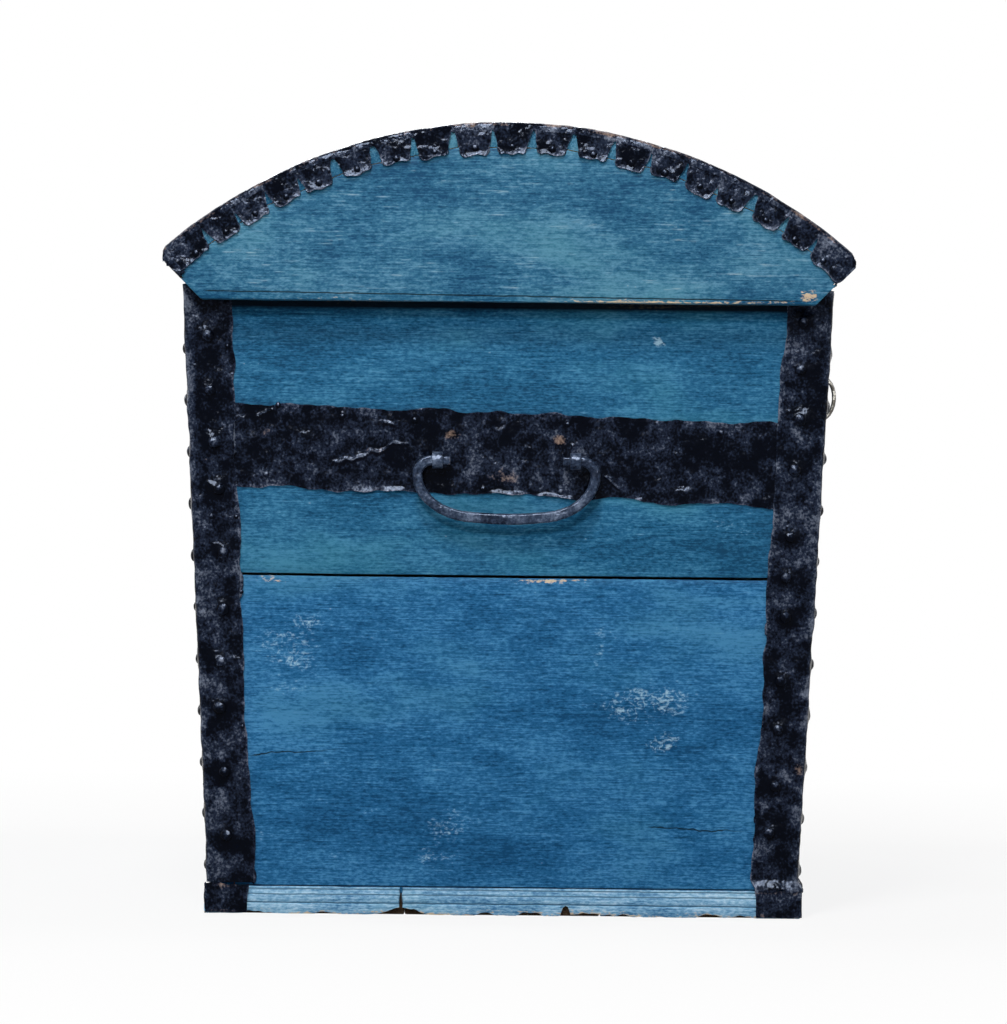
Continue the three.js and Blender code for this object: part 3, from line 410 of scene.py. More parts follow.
def painted_wood(
    name,
    grain,
    tones,
    teal,
    chalk="#8fb0c2",
    wear=0.0,
    scratch=0.0,
    under_lid=False,
    cracks=(),
    crack_tone="#10171c",
):
    """tones are the deep, the middle and the light one. wear brings more chalk, scratch more scratches."""
    material, tree = new_material(name)
    place = add(tree, "ShaderNodeTexCoord").outputs["Object"]
    found = patterns(tree, place, wood_patterns, grain)
    speckle, fibres, rings, mottle, patches, curls = found.values()
    rub, knocked, faded = [
        add(tree, "ShaderNodeAttribute", attribute_name=kind).outputs["Fac"]
        for kind in ("rub", "bare", "faded")
    ]

    grainy = added_up(tree, (speckle, 0.56), (fibres, 0.44))
    shade = added_up(tree, (patches, 0.27), (mottle, 0.18), (grainy, 0.55), (faded, 1))
    deep, tone, light = [colour(code) for code in tones]
    stops = [(0.43, deep), (0.5, tone), (0.58, light)]
    paint = add(tree, "ShaderNodeValToRGB", {0: shade}, stops=stops).outputs[0]
    paint = laid_over(tree, paint, colour(teal), patches, 0.52, 0.68, at_end=0.34)

    # Scuffs are short curled strokes. They lie close together where something rubbed again and again.
    often = added_up(tree, (rub, 1), (mottle, 0.65), (speckle, 0.35))
    often = add(tree, "ShaderNodeMapRange", {0: often, 1: 0.7, 2: 0.8, 3: 0, 4: 0.8}).outputs[0]
    strokes = curled_strokes(tree, curls)
    scuffs = add(tree, "ShaderNodeMath", {0: strokes, 1: often}, operation="MULTIPLY").outputs[0]
    paint = laid_over(tree, paint, colour(chalk), scuffs)

    # The paint wears off the high spots first, as small pale dots and dashes.
    dots = added_up(tree, (speckle, 1), (mottle, 1), (rub, 1))
    paint = laid_over(tree, paint, colour(chalk), dots, 1.3 - wear, 1.5 - wear, at_end=0.6)
    dashes = added_up(tree, (fibres, 0.7), (mottle, 0.3))
    paint = laid_over(tree, paint, colour(chalk), dashes, 0.65 - scratch, 0.74 - scratch, at_end=0.5)

    # Bare wood shows in knocks.
    chips = added_up(tree, (knocked, 1), (rings, 1), (speckle, 1))
    wood = laid_over(tree, colour("#96704a"), colour("#e3d3b4"), fibres)
    paint = laid_over(tree, paint, wood, chips, 1.34, 1.46, at_end=0.9)

    # Dirt lies in the open pores and in the cracks. Under the lid's overhang the paint turns almost black:
    # a painted shadow.
    paint = laid_over(tree, paint, colour("#12303f"), fibres, 0.27, 0.38, at_start=0.4, at_end=0)
    for start, end, wander in cracks:
        paint = laid_over(tree, paint, colour(crack_tone), crack_line(tree, place, start, end, wander))
    if under_lid:
        height = add(tree, "ShaderNodeSeparateXYZ", {0: place}).outputs["Z"]
        paint = laid_over(tree, paint, colour("#03060b"), height, lid_shadow_low, lid_shadow_high, at_end=0.96)

    dull = add(tree, "ShaderNodeMapRange", {0: mottle, 1: 0.3, 2: 0.7, 3: 0.45, 4: 0.7}).outputs[0]
    fine = add(tree, "ShaderNodeBump", {"Height": grainy, "Distance": 0.5 * MM, "Strength": 0.5}).outputs[0]
    coarse = {"Height": rings, "Distance": 1.2 * MM, "Strength": 0.3, "Normal": fine}
    relief = add(tree, "ShaderNodeBump", coarse).outputs[0]
    surface = {"Base Color": paint, "Roughness": dull, "Normal": relief, "Specular IOR Level": 0.02}
    shader = add(tree, "ShaderNodeBsdfPrincipled", surface)
    add(tree, "ShaderNodeOutputMaterial", {"Surface": shader.outputs[0]})
    return material


# %% Paints of the walls
# Blue casein paint looks deep blue where it lies thick and paler where it is thin, with a breath of teal.
body_paint = ("#0d3d61", "#1f5984", "#3f7ba5")
body_teal = "#22596c"
blue_across = painted_wood("blue_casein_paint_across_the_end", "Y", body_paint, body_teal, under_lid=True)
blue_along = painted_wood("blue_casein_paint_along_the_chest", "X", body_paint, body_teal, under_lid=True)

# The photographed lower board has dried out and cracked, and parts from the plinth in a dark line.
end_cracks = [((244, 152), (155, 160), 5), ((-139, 86), (-239, 84), 5), ((300, 26.9), (-300, 26.9), 0.4)]
cracked_blue = painted_wood("cracked_blue_casein_paint", "Y", body_paint, body_teal, cracks=end_cracks)

# The photographed upper board was shaded by the lid, and its paint has stayed a little greener.
upper_paint = ("#0c3a58", "#1e577a", "#3d7797")
upper_blue = painted_wood("greenish_blue_casein_paint", "Y", upper_paint, "#266670", under_lid=True)
print("nodes in a paint with cracks:", len(cracked_blue.node_tree.nodes))

# %% Paints of the lid and the plinth
# The lid has faded in the daylight: its paint is paler, with yellowish chalk and many fine scratches.
lid_paint = ("#0d3c5c", "#265b78", "#517e97")
lid_teal = "#3b7683"
lid_chalk = "#a9b3ae"
lid_cracks = [((290, 595.5), (-290, 591), 0.9)]
lid_blue = painted_wood(
    "faded_blue_casein_paint",
    "Y",
    lid_paint,
    lid_teal,
    lid_chalk,
    wear=0.02,
    scratch=0.045,
    cracks=lid_cracks,
)
stave_blue = painted_wood(
    "faded_blue_casein_paint_on_the_staves", "X", lid_paint, lid_teal, lid_chalk, wear=0.01, scratch=0.035
)

# The plinth is light blue. Its grooves are darker lines of the same paint, a painted shade in their
# hollows.
plinth_paint = ("#35678d", "#6c99b8", "#a3c3d8")
plinth_chalk = "#b9ccd6"
groove_shade_lines = [((-300, z), (300, z), 0.8) for z in (11, 19, 24)]
pale_across = painted_wood(
    "pale_casein_paint_across",
    "Y",
    plinth_paint,
    "#6fa3b2",
    plinth_chalk,
    scratch=0.06,
    cracks=groove_shade_lines,
    crack_tone="#35586e",
)
pale_along = painted_wood(
    "pale_casein_paint_along", "X", plinth_paint, "#6fa3b2", plinth_chalk, scratch=0.06
)
print("paints so far:", sum("paint" in name for name in bpy.data.materials.keys()))

# %% Bare wood
# Planed pine that was never painted has turned tan, with straight fibres and little contrast.
pine = ("#98744e", "#aa865a", "#bc996c")
bare_along = painted_wood("bare_pine", "X", pine, "#9c7d55", "#b9a98d")
bare_across = painted_wood("bare_pine_across", "Y", pine, "#9c7d55", "#b9a98d")

# The floor boards lie near the damp ground, and have turned dark brown.
old_pine = painted_wood("dark_old_pine", "X", ("#281f17", "#3a2e22", "#514232"), "#42382a", "#6e6252")
print("bare woods:", bare_along.name, bare_across.name, old_pine.name)

# %% [markdown]
# ## Black painted iron
#
# The straps are wrought sheet, hammered over the corners and painted black more than once. The thick paint
# is glossy and lumpy, with small sharp glints on every rise. It has worn grey on the high spots, and rust
# comes through in small patches. The crowns of the nails are painted bright on their upper side, as worn
# paint and as a painted highlight, and the iron round the nails darker, as dirt and as painted shade. The
# lumps are about a centimetre wide and very shallow, so they are drawn as bump, while the dents and the
# rises round the nails are in the mesh. The handles are forged bar with hardly any paint left, and the lock
# and key are plain steel, worn smooth and warm grey.

# %% Iron
iron_patterns = {
    "lumps": (1, 11 * MM, 2.5, 0.45, 0),
    "pits": (1, 2.4 * MM, 3, 0.55, 0),
    "clouds": (1, 26 * MM, 8, 0.7, 0),
}
rust_softness = 0.13


def iron(name, tones, rust, gloss, metallic, level, rust_from):
    """tones are the dark, the middle and the worn tone. level is the strength of the reflection."""
    material, tree = new_material(name)
    place = add(tree, "ShaderNodeTexCoord").outputs["Object"]
    lumps, pits, clouds = patterns(tree, place, iron_patterns).values()
    # The worn attribute holds worn paint, and also painted highlights and painted shade at nails, lips and
    # creases.
    worn, rusted = [
        add(tree, "ShaderNodeAttribute", attribute_name=kind).outputs["Fac"] for kind in ("worn", "rust")
    ]

    mixed = added_up(tree, (clouds, 0.7), (pits, 0.3))
    dark, tone, bright = [colour(code) for code in tones]
    stops = [(0.46, dark), (0.55, tone), (0.68, bright)]
    shade = added_up(tree, (mixed, 1), (worn, 1))
    coat = add(tree, "ShaderNodeValToRGB", {0: shade}, stops=stops).outputs[0]
    rusty = added_up(tree, (rusted, 1), (mixed, 1))
    coat = laid_over(tree, coat, colour(rust), rusty, rust_from, rust_from + rust_softness, at_end=0.7)
    rough = add(tree, "ShaderNodeMapRange", {0: mixed, 1: 0.38, 2: 0.62, 3: gloss, 4: gloss + 0.16})
    fine = add(tree, "ShaderNodeBump", {"Height": pits, "Distance": 0.4 * MM, "Strength": 0.3}).outputs[0]
    coarse = {"Height": lumps, "Distance": 5 * MM, "Strength": 0.58, "Normal": fine}
    surface = {
        "Base Color": coat,
        "Roughness": rough.outputs[0],
        "Metallic": metallic,
        "Specular IOR Level": level,
        "Specular Tint": colour("#dde6fa"),
        "Normal": add(tree, "ShaderNodeBump", coarse).outputs[0],
    }
    shader = add(tree, "ShaderNodeBsdfPrincipled", surface)
    add(tree, "ShaderNodeOutputMaterial", {"Surface": shader.outputs[0]})
    return material


# %% The coffer's three irons
# Old black oil paint: blue-black, glossy, rubbed grey on the high spots, with pale brown rust.
black_tones = ("#02040c", "#1d2536", "#6b7383")
black_iron = iron("black_painted_wrought_iron", black_tones, "#8c7360", 0.11, 0.0, 0.045, 0.66)

# Forged bar under the last of its paint: slate grey, half matt, with brown in the hollows.
forged_tones = ("#101828", "#2a364a", "#5c687c")
forged_iron = iron("dark_forged_iron", forged_tones, "#80643f", 0.24, 0.0, 0.1, 0.7)

# Bare steel of the lock and the key: metallic and warm grey, softly shining.
steel_tones = ("#57524b", "#7a746b", "#99938a")
grey_steel = iron("worn_warm_grey_steel", steel_tones, "#7d6248", 0.36, 0.9, 0.5, 0.74)
print("materials:", len(bpy.data.materials))

# %% [markdown]
# ## Working on one piece at a time
#
# An operator acts on all that is selected, so each step first selects only its own piece. A copied CAD node
# is made of loose triangles: its doubles are merged and its flat stretches dissolved before anything else.
# Nothing on an old coffer is quite flat or straight, and smooth noise moves the points by a little. It is
# seeded by the place alone, so each run gives the same coffer.


# %% Selecting, modifiers and copies of CAD nodes
def select_only(piece):
    bpy.ops.object.select_all(action="DESELECT")
    piece.select_set(True)
    bpy.context.view_layer.objects.active = piece


def finish_with(piece, kind, **settings):
    select_only(piece)
    modifier = piece.modifiers.new(kind, kind)
    for name, value in settings.items():
        setattr(modifier, name, value)
    bpy.ops.object.modifier_apply(modifier=modifier.name)


def copy_of(node):
    piece = bpy.data.objects.new(f"{node}_dressed", nodes[node].data.copy())
    bpy.context.scene.collection.objects.link(piece)
    piece.data.materials.clear()
    select_only(piece)
    bpy.ops.mesh.customdata_custom_splitnormals_clear()
    bpy.ops.object.mode_set(mode="EDIT")
    bpy.ops.mesh.select_all(action="SELECT")
    bpy.ops.mesh.remove_doubles(threshold=0.01 * MM)
    bpy.ops.mesh.dissolve_limited(angle_limit=math.radians(1))
    bpy.ops.object.mode_set(mode="OBJECT")
    return piece


def cut_in_steps(piece, axis, step):
    """Cuts the piece by planes square to an axis, so that its flat faces have points to move."""
    places = [vertex.co[axis] for vertex in piece.data.vertices]
    low, high = min(places), max(places)
    count = max(1, round((high - low) / step))
    square = [float(axis == i) for i in range(3)]
    select_only(piece)
    bpy.ops.object.mode_set(mode="EDIT")
    for i in range(1, count):
        cut = [part * (low + (high - low) * i / count) for part in square]
        bpy.ops.mesh.select_all(action="SELECT")
        bpy.ops.mesh.bisect(plane_co=cut, plane_no=square)
    bpy.ops.object.mode_set(mode="OBJECT")


def weather(piece, layers):
    """Moves every point a little, by smooth noise: each layer has a width and a height."""
    for vertex in piece.data.vertices:
        shift = Vector()
        for width, height in layers:
            shift += noise.noise_vector(vertex.co / width) * height
        vertex.co += shift


def ripple(value, width, height, seed=0.0):
    """A smooth wave along one line, from about -height to height."""
    return noise.noise(Vector((value / width, seed, 3.7))) * height


print("a ripple at 10 mm, of 1 at most:", round(ripple(10 * MM, 28 * MM, 1), 2))

# %% [markdown]
# ## Handing a piece over
#
# A finished piece stands for its CAD node, which it hides, and rides on the same body that the record gives
# it.
# Nothing may stand out of the CAD model's box, so the last lumps are pressed back inside it.

# %% Settle a piece
body_of = {node: body for body, members in record["behaviour"]["bodies"].items() for node in members}
box_low, box_high = [Vector(corner) for corner in cad_box]
random.seed(7)
noise.seed_set(7)  # without a seed, noise_vector starts from the clock


def settle(piece, node, material, smooth=38):
    """smooth is the angle in degrees up to which faces are shaded as one."""
    for vertex in piece.data.vertices:
        for axis in range(3):
            vertex.co[axis] = min(max(vertex.co[axis], box_low[axis]), box_high[axis])
    if not piece.data.materials:
        piece.data.materials.append(material)
    select_only(piece)
    bpy.ops.object.shade_smooth_by_angle(angle=math.radians(smooth))
    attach(piece, body_of[node])
    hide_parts(node)
    return piece


def paint_points(piece, name, amounts):
    """Keeps a number at each point of the piece, which its material reads as an attribute."""
    layer = piece.data.attributes.new(name, "FLOAT", "POINT")
    for point, amount in zip(layer.data, amounts):
        point.value = amount


def paint_by_place(piece, name, amount_at):
    paint_points(piece, name, [amount_at(vertex.co) for vertex in piece.data.vertices])


print("bodies that move or stand:", sorted(set(body_of.values())))

# %% [markdown]
# ## Boards
#
# A board is a flat plank with dovetailed ends. It could be built anew from a cube, but the CAD node already
# has its lean and its dovetails, so a copy of it is dressed. Edges of a chest that has been dragged about
# are never sharp, so they are bevelled, and the faces are cut into small fields and moved by a fraction of
# a millimetre. The worn places of the photographed end were read from the picture.

# %% Worn places of the photographed end
# Each is a soft spot on the end wall: (y, z, half width, half height, strength), the first four in mm.
left_end_rubs = [
    (207, 262, 36, 58, 0.24),
    (-92, 250, 14, 34, 0.24),
    (-130, 206, 54, 26, 0.26),
    (-153, 166, 22, 14, 0.36),
    (58, 76, 40, 34, 0.22),
    (145, 130, 60, 40, 0.1),
    (-215, 392, 30, 34, 0.16),
    (-144, 549, 6, 6, 0.5),
    (235, 75, 20, 50, 0.14),
]
left_end_fading = [
    (225, 200, 60, 170, 0.028),
    (150, 70, 120, 60, 0.02),
    (-235, 190, 60, 150, 0.022),
    (130, 500, 70, 50, 0.02),
]
left_end_chips = [
    (226, 323, 16, 3, 0.45),
    (-52, 322, 60, 2.5, 0.48),
    (-286, 596, 8, 9, 0.48),
    (-150, 589, 140, 4, 0.35),
    (60, 589, 200, 3, 0.25),
]


def spot_strength(place, spots):
    """The strength of the strongest spot at a place, which fades towards the spot's edge."""
    strength = 0
    for y, z, half_width, half_height, amount in spots:
        far = math.hypot((place.y / MM - y) / half_width, (place.z / MM - z) / half_height)
        strength = max(strength, amount * max(0, 1 - far * far * 0.6))
    return strength


print("rubbed, faded and chipped:", len(left_end_rubs), len(left_end_fading), len(left_end_chips))


# %% One board
def outward_of(node, place):
    """The direction that faces out of the coffer, at a place on one of its boards."""
    if "_end_" in node:
        return Vector((math.copysign(1, place.x), 0, 0))
    if "stave" in node:
        return Vector((0, place.y, place.z - dome_centre)).normalized()
    return Vector((0, math.copysign(1, place.y), 0))


def dress_wood(node, material, step, bevel=1.6, inside=None, warp=0.35):
    """step, bevel and warp are in mm. inside is the bare wood of the faces that nobody painted."""
    piece = copy_of(node)
    finish_with(piece, "BEVEL", width=bevel * MM, segments=2, limit_method="ANGLE", angle_limit=0.6)
    low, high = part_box(node)
    for axis in range(3):
        if high[axis] - low[axis] > 60 * MM:
            cut_in_steps(piece, axis, step * MM)
    on_left_end = node.startswith(("left_end", "lid_end_left"))
    for name, spots in (("rub", left_end_rubs), ("bare", left_end_chips), ("faded", left_end_fading)):
        paint_by_place(piece, name, lambda at: spot_strength(at, spots) if on_left_end else 0)
    weather(piece, [(90 * MM, warp * MM), (22 * MM, warp * 0.4 * MM)])
    piece.data.materials.append(material)
    # the staves were painted after they were joined, so the sides of the inner ones are bare
    inner_stave = "stave" in node and node[-1] not in "17"
    bare_below = 0.3 if inner_stave else -0.9
    if inside:
        piece.data.materials.append(inside)
        for face in piece.data.polygons:
            inward = face.normal.dot(outward_of(node, face.center)) < bare_below
            rim = "upper" in node and face.normal.z > 0.9
            end_grain = "stave" in node and abs(face.normal.x) > 0.5
            if (inward or rim) and not end_grain:
                face.material_index = 1
    return settle(piece, node, material)


# %% One stretch of the plinth
break_y = 97 * MM  # where the photographed end's plinth has snapped in two
notch_y = -61 * MM  # where its foot has a notch


def dress_plinth(node, material, run, step):
    """The moulding's foot has rotted away in places, and one notch was broken out of the left end."""
    piece = copy_of(node)
    finish_with(piece, "BEVEL", width=0.4 * MM, segments=2, limit_method="ANGLE", angle_limit=0.4)
    cut_in_steps(piece, run, step * MM)
    paint_by_place(piece, "rub", lambda at: 0.1)
    paint_by_place(piece, "bare", lambda at: 0.26 if at.z < 3 * MM else 0)
    for vertex in piece.data.vertices:
        at = vertex.co
        raggedness = max(0, ripple(at[run], 28 * MM, 6 * MM, 4.0) + ripple(at[run], 8 * MM, 2.5 * MM, 6.0))
        if node == "plinth_left_front":
            raggedness += 10 * MM * math.exp(-(((at.y - notch_y) / (4 * MM)) ** 4))
        if node.startswith("plinth_left"):
            from_break = break_y - at.y
            raggedness += 7 * MM * math.exp(-((from_break / (15 * MM)) ** 2))
            if abs(from_break) < 4 * MM:
                at.y += math.copysign(0.9 * MM + ripple(at.z, 3 * MM, 1.6 * MM), from_break)
        at.z += raggedness * max(0, 1 - at.z / (13 * MM))
    weather(piece, [(60 * MM, 0.5 * MM), (12 * MM, 0.35 * MM)])
    return settle(piece, node, material, smooth=30)


print("snap and notch of the plinth, in mm:", round(break_y / MM), round(notch_y / MM))

# %% Dress the wood
own_paint = {"left_end_lower_board": cracked_blue, "left_end_upper_board": upper_blue}
for wall in ("left_end", "right_end"):
    for row in ("lower", "upper"):
        node = f"{wall}_{row}_board"
        dress_wood(node, own_paint.get(node, blue_across), 9, inside=bare_across)
for wall in ("front", "back"):
    for row in ("lower", "upper"):
        dress_wood(f"{wall}_{row}_board", blue_along, 20, inside=bare_along)
for i in range(3):
    dress_wood(f"floor_board_{i + 1}", old_pine, 40)
for i in range(7):
    dress_wood(f"lid_stave_{i + 1}", stave_blue, 25, bevel=1.2, inside=bare_along)
for node in ("lid_end_left", "lid_end_right"):
    dress_wood(node, lid_blue, 9, inside=bare_across)
for node in ("lid_rail_front", "lid_rail_back"):
    dress_wood(node, stave_blue, 40, inside=bare_along)
for node in ("plinth_left_front", "plinth_left_back", "plinth_right"):
    dress_plinth(node, pale_across, 1, 2.5)
for node in ("plinth_front", "plinth_back"):
    dress_plinth(node, pale_along, 0, 5)
print("wooden pieces dressed")

# %% [markdown]
# ## A hand-made nail
#
# The heads are low domes, struck by hand, so none is quite round. Each could be modelled by itself, but the
# eye only sees that no two are the same. So one head is made from a sphere whose lower half is cut away,
# and every nail is a copy of it, turned and sized a little differently.

# %% One nail head
bpy.ops.object.select_all(action="DESELECT")
bpy.ops.mesh.primitive_uv_sphere_add(segments=16, ring_count=12, radius=1, location=(0, 0, 0))
nail_model = bpy.context.object
bpy.ops.object.mode_set(mode="EDIT")
bpy.ops.mesh.select_all(action="SELECT")
bpy.ops.mesh.bisect(plane_co=(0, 0, -0.15), plane_no=(0, 0, 1), clear_inner=True, use_fill=True)
bpy.ops.mesh.select_all(action="SELECT")
bpy.ops.transform.resize(value=(1, 1, 0.52))
bpy.ops.object.mode_set(mode="OBJECT")
weather(nail_model, [(0.9, 0.1)])
nail_mesh = nail_model.data.copy()
bpy.data.objects.remove(nail_model)
print("faces of one nail head:", len(nail_mesh.polygons))

# %% Drive the nails
# The crowns are painted bright, as worn paint and as a painted highlight, most on their upper side, where
# the light falls.
crown_wear_and_highlight = 0.18  # the crowns are rubbed bright, most of all on their upper side


def add_nails(piece, places, radius):
    """places is a list of (point, outward direction). The heads become part of the piece."""
    shape = bmesh.new()
    shape.from_mesh(piece.data)
    worn = shape.verts.layers.float.get("worn") or shape.verts.layers.float.new("worn")
    for point, outward in places:
        size = radius * random.uniform(0.88, 1.12)
        turn = Vector(outward).to_track_quat("Z", "Y").to_matrix().to_4x4()
        spin = Matrix.Rotation(random.uniform(0, math.tau), 4, "Z")
        head = nail_mesh.copy()
        head.transform(Matrix.Translation(point) @ turn @ spin @ Matrix.Scale(size, 4))
        count = len(shape.verts)
        shape.from_mesh(head)
        shape.verts.ensure_lookup_table()
        # Each crown is painted bright on its upper side, worn paint and painted highlight together, and the
        # rest of the head a little darker, a painted shade.
        rubbed_and_lit_from = (Vector(outward) + Vector((0, 0, 0.5))).normalized()
        amount = crown_wear_and_highlight * random.uniform(0.7, 1.1)
        for vertex in shape.verts[count:]:
            facing = (vertex.co - Vector(point)).normalized().dot(rubbed_and_lit_from)
            vertex[worn] = amount * max(0, facing) ** 5 - 0.06
        bpy.data.meshes.remove(head)
    shape.to_mesh(piece.data)
    shape.free()


# %% [markdown]
# ## Sheet iron folded round a corner
#
# A corner strap is one sheet, hammered round the corner. Folding a thick plate would crush its inner side,
# so it starts as a flat grid with no thickness. Half of its points are laid on the end wall and half on the
# long wall, with a rounded fold between. Noise makes the edges wavy and the sheet lumpy, and Solidify
# thickens it at last. The shoes round the plinth are made by the same function.

# %% A flat sheet and its dents
# This share also paints the lighter lips of the tongues and the band and the lighter crests of the creases,
# as worn paint and as a painted highlight together.
edge_wear_and_highlight = 0.08  # how far the paint has worn off an edge, as a share of the iron's pattern
# Round a nail the iron is painted darker, as dirt and as painted shade.
dirt_and_shade_ring = 0.09  # how much darker the iron is round a nail


def grid(name, columns, rows):
    """A flat grid whose points run from -1 to 1 both ways."""
    bpy.ops.object.select_all(action="DESELECT")
    bpy.ops.mesh.primitive_grid_add(x_subdivisions=columns, y_subdivisions=rows, size=2, location=(0, 0, 0))
    piece = bpy.context.object
    piece.name = name
    return piece


def lumps_at(point):
    """How far the hammered sheet stands off the wood at a point, more or less than it should."""
    return noise.noise(point / (26 * MM)) * 0.9 * MM + noise.noise(point / (9 * MM)) * 0.6 * MM


def near_edge(value, start):
    """0 up to the start, then rising to 1 at the edge, where the value is 1 or -1."""
    return max(0, abs(value) - start) / (1 - start)


def swelling(place, heads, width):
    """How far the sheet rises round the nails at heads, from 0 to 1, at a place on the sheet."""
    rise = 0
    for head in heads:
        near = ((place[0] - head[0]) ** 2 + (place[1] - head[1]) ** 2) / width**2
        if near < 6:
            rise = max(rise, math.exp(-near))
    return rise


# %% The folded sheet
swell_height = 2.6 * MM
swell_width = 8.5 * MM
flare_top = 29 * MM  # a beaten-out foot has ended at this height


def folded_sheet(
    name, side, long_side, reaches, leg, low, high, skin, thickness, tear, fold, heads=(), flare=0.0, legs=2
):
    """side and long_side are the corner's signs of x and y. reaches gives how far out its two walls stand.

    skin is the gap to the wall. tear is how ragged the upper end is, and fold the radius of the bend.
    heads are the nails under the paint, as (distance from the corner, z): the sheet swells round them.
    flare is how far the foot is beaten out. With one leg the sheet lies on the end wall only.
    """
    seed = side * 2.3 + long_side * 5.1 + low * 40
    rows = max(10, round((high - low) / (2.5 * MM)))
    piece = grid(name, 46, rows)
    half_fold = fold * math.pi / 4
    wear = []
    for vertex in piece.data.vertices:
        across, up = vertex.co.x, (vertex.co.y + 1) / 2
        top = high - abs(ripple(across, 0.3, tear, seed)) * up
        z = low + (top - low) * up + flare * abs(ripple(across, 0.2, 1.4, seed)) * (1 - up) ** 8
        wave = ripple(z + across, 60 * MM, 4 * MM, seed) + ripple(z, 14 * MM, 1.6 * MM, seed + 9)
        s = across * (leg + wave)  # how far along the sheet from the corner: the end wall is the minus side
        if legs == 1:
            s = min(s, -half_fold)
        lift = skin + lumps_at(Vector((s + seed, z, seed)))
        lift += swell_height * swelling((s, z), heads, swell_width)
        lift += flare * min(1, max(0, 1 - (z - flare_top) / (8 * MM)))
        x_reach = reaches[0](z) + lift
        y_reach = reaches[1](z) + min(lift, skin + flare + 1 * MM)
        if abs(s) < half_fold:
            angle = math.pi / 4 + s / fold
            x = x_reach - fold + fold * math.cos(angle)
            y = y_reach - fold + fold * math.sin(angle)
        elif s > 0:
            x = x_reach - fold - (s - half_fold)
            y = y_reach
        else:
            x = x_reach
            y = y_reach - fold - (-s - half_fold)
        # Edges and the fold are lighter with worn paint. Round each nail the iron is painted darker, as
        # dirt and as painted shade.
        rubbed = max(near_edge(across, 0.95), 0.7 * max(0, 1 - abs(s) / (9 * MM)))
        wear.append(edge_wear_and_highlight * rubbed - dirt_and_shade_ring * swelling((s, z), heads, 10 * MM))
        vertex.co = (side * x, long_side * y, z)
    paint_points(piece, "worn", wear)
    if side * long_side < 0:
        piece.data.flip_normals()
    if legs == 1:
        select_only(piece)
        bpy.ops.object.mode_set(mode="EDIT")
        bpy.ops.mesh.select_all(action="SELECT")
        bpy.ops.mesh.remove_doubles(threshold=0.02 * MM)
        bpy.ops.object.mode_set(mode="OBJECT")
    finish_with(piece, "SOLIDIFY", thickness=thickness, offset=-1)
    return piece


near_nail = swelling((5 * MM, 0), [(0, 0)], swell_width)
print("swelling at 5 mm from a nail:", round(near_nail * swell_height / MM, 1), "mm")

# %% [markdown]
# ## Corner straps and shoes
#
# A strap holds each corner from the plinth up to the rim, and an iron shoe guards the plinth under it. On
# three corners the foot of the strap was beaten out over the shoe. The nails of the two photographed
# corners sit where the picture shows them. The other legs have nails at the even spacing that the smith
# aimed for, so their places are worked out.

# %% Nails of the corner straps, as (distance from the corner, height) in mm
left_back_nails = [
    (20, 554), (20, 502), (22, 452), (25, 407), (26, 346),
    (24, 292), (20, 242), (17, 198), (19, 136), (18, 75),
]
left_front_nails = [
    (25, 572), (25, 527), (23, 479), (25, 431), (25, 367), (27, 328),
    (25, 290), (26, 229), (26, 182), (25, 127), (28, 82),
]
left_back_tacks = [(38, 544), (16, 381), (40, 381), (42, 309), (38, 180)]
even_nails = [(random.uniform(20, 26), 567 - 49.7 * i) for i in range(11)]
row_shift = 24.8  # the long wall's row of nails sits half a step lower
print("nails on an even row:", len(even_nails))

# %% Corner straps
strap_leg = 44 * MM
strap_skin = 2.8 * MM
strap_nail = 5.8 * MM
tack = 2.4 * MM
# rust on the photographed straps, as spots on the end wall
left_strap_rust = [(252, 452, 3, 22, 0.2), (-284, 144, 6, 9, 0.22), (289, 436, 8, 9, 0.13)]
corners = [("left_front", -1, -1), ("left_back", -1, 1), ("right_front", 1, -1), ("right_back", 1, 1)]
for corner, side, long_side in corners:
    node = f"corner_strap_{corner}"
    end_nails = {"left_front": left_front_nails, "left_back": left_back_nails}.get(corner, even_nails)
    heads = [(-inset * MM, height * MM) for inset, height in end_nails]
    heads += [(inset * MM, (height - row_shift) * MM) for inset, height in even_nails]
    over_shoe = corner != "left_back"  # the foot of the strap is beaten out over the shoe
    piece = folded_sheet(
        f"{node}_dressed",
        side,
        long_side,
        (half_length, half_depth),
        strap_leg,
        low=(24 if over_shoe else 29.5) * MM,
        high=603 * MM,
        skin=strap_skin,
        thickness=2.2 * MM,
        tear=2 * MM,
        fold=6 * MM,
        heads=heads,
        flare=(5.2 if over_shoe else 0) * MM,
    )
    nails = []
    for s, z in heads:
        if s < 0:
            point = (side * (half_length(z) + strap_skin + 1.7 * MM), long_side * (half_depth(z) + s), z)
            nails.append((point, (side, 0, 0)))
        else:
            point = (side * (half_length(z) - s), long_side * (half_depth(z) + strap_skin - 0.6 * MM), z)
            nails.append((point, (0, long_side, 0)))
    add_nails(piece, nails, strap_nail)
    if corner == "left_back":
        tacks = [(s * MM, z * MM) for s, z in left_back_tacks]
        reach = strap_skin + 0.6 * MM
        places = [((-half_length(z) - reach, half_depth(z) - s, z), (-1, 0, 0)) for s, z in tacks]
        add_nails(piece, places, tack)
    paint_by_place(piece, "rust", lambda at: spot_strength(at, left_strap_rust) if at.x < 0 else 0)
    settle(piece, node, black_iron)
print("corner straps:", len(corners))

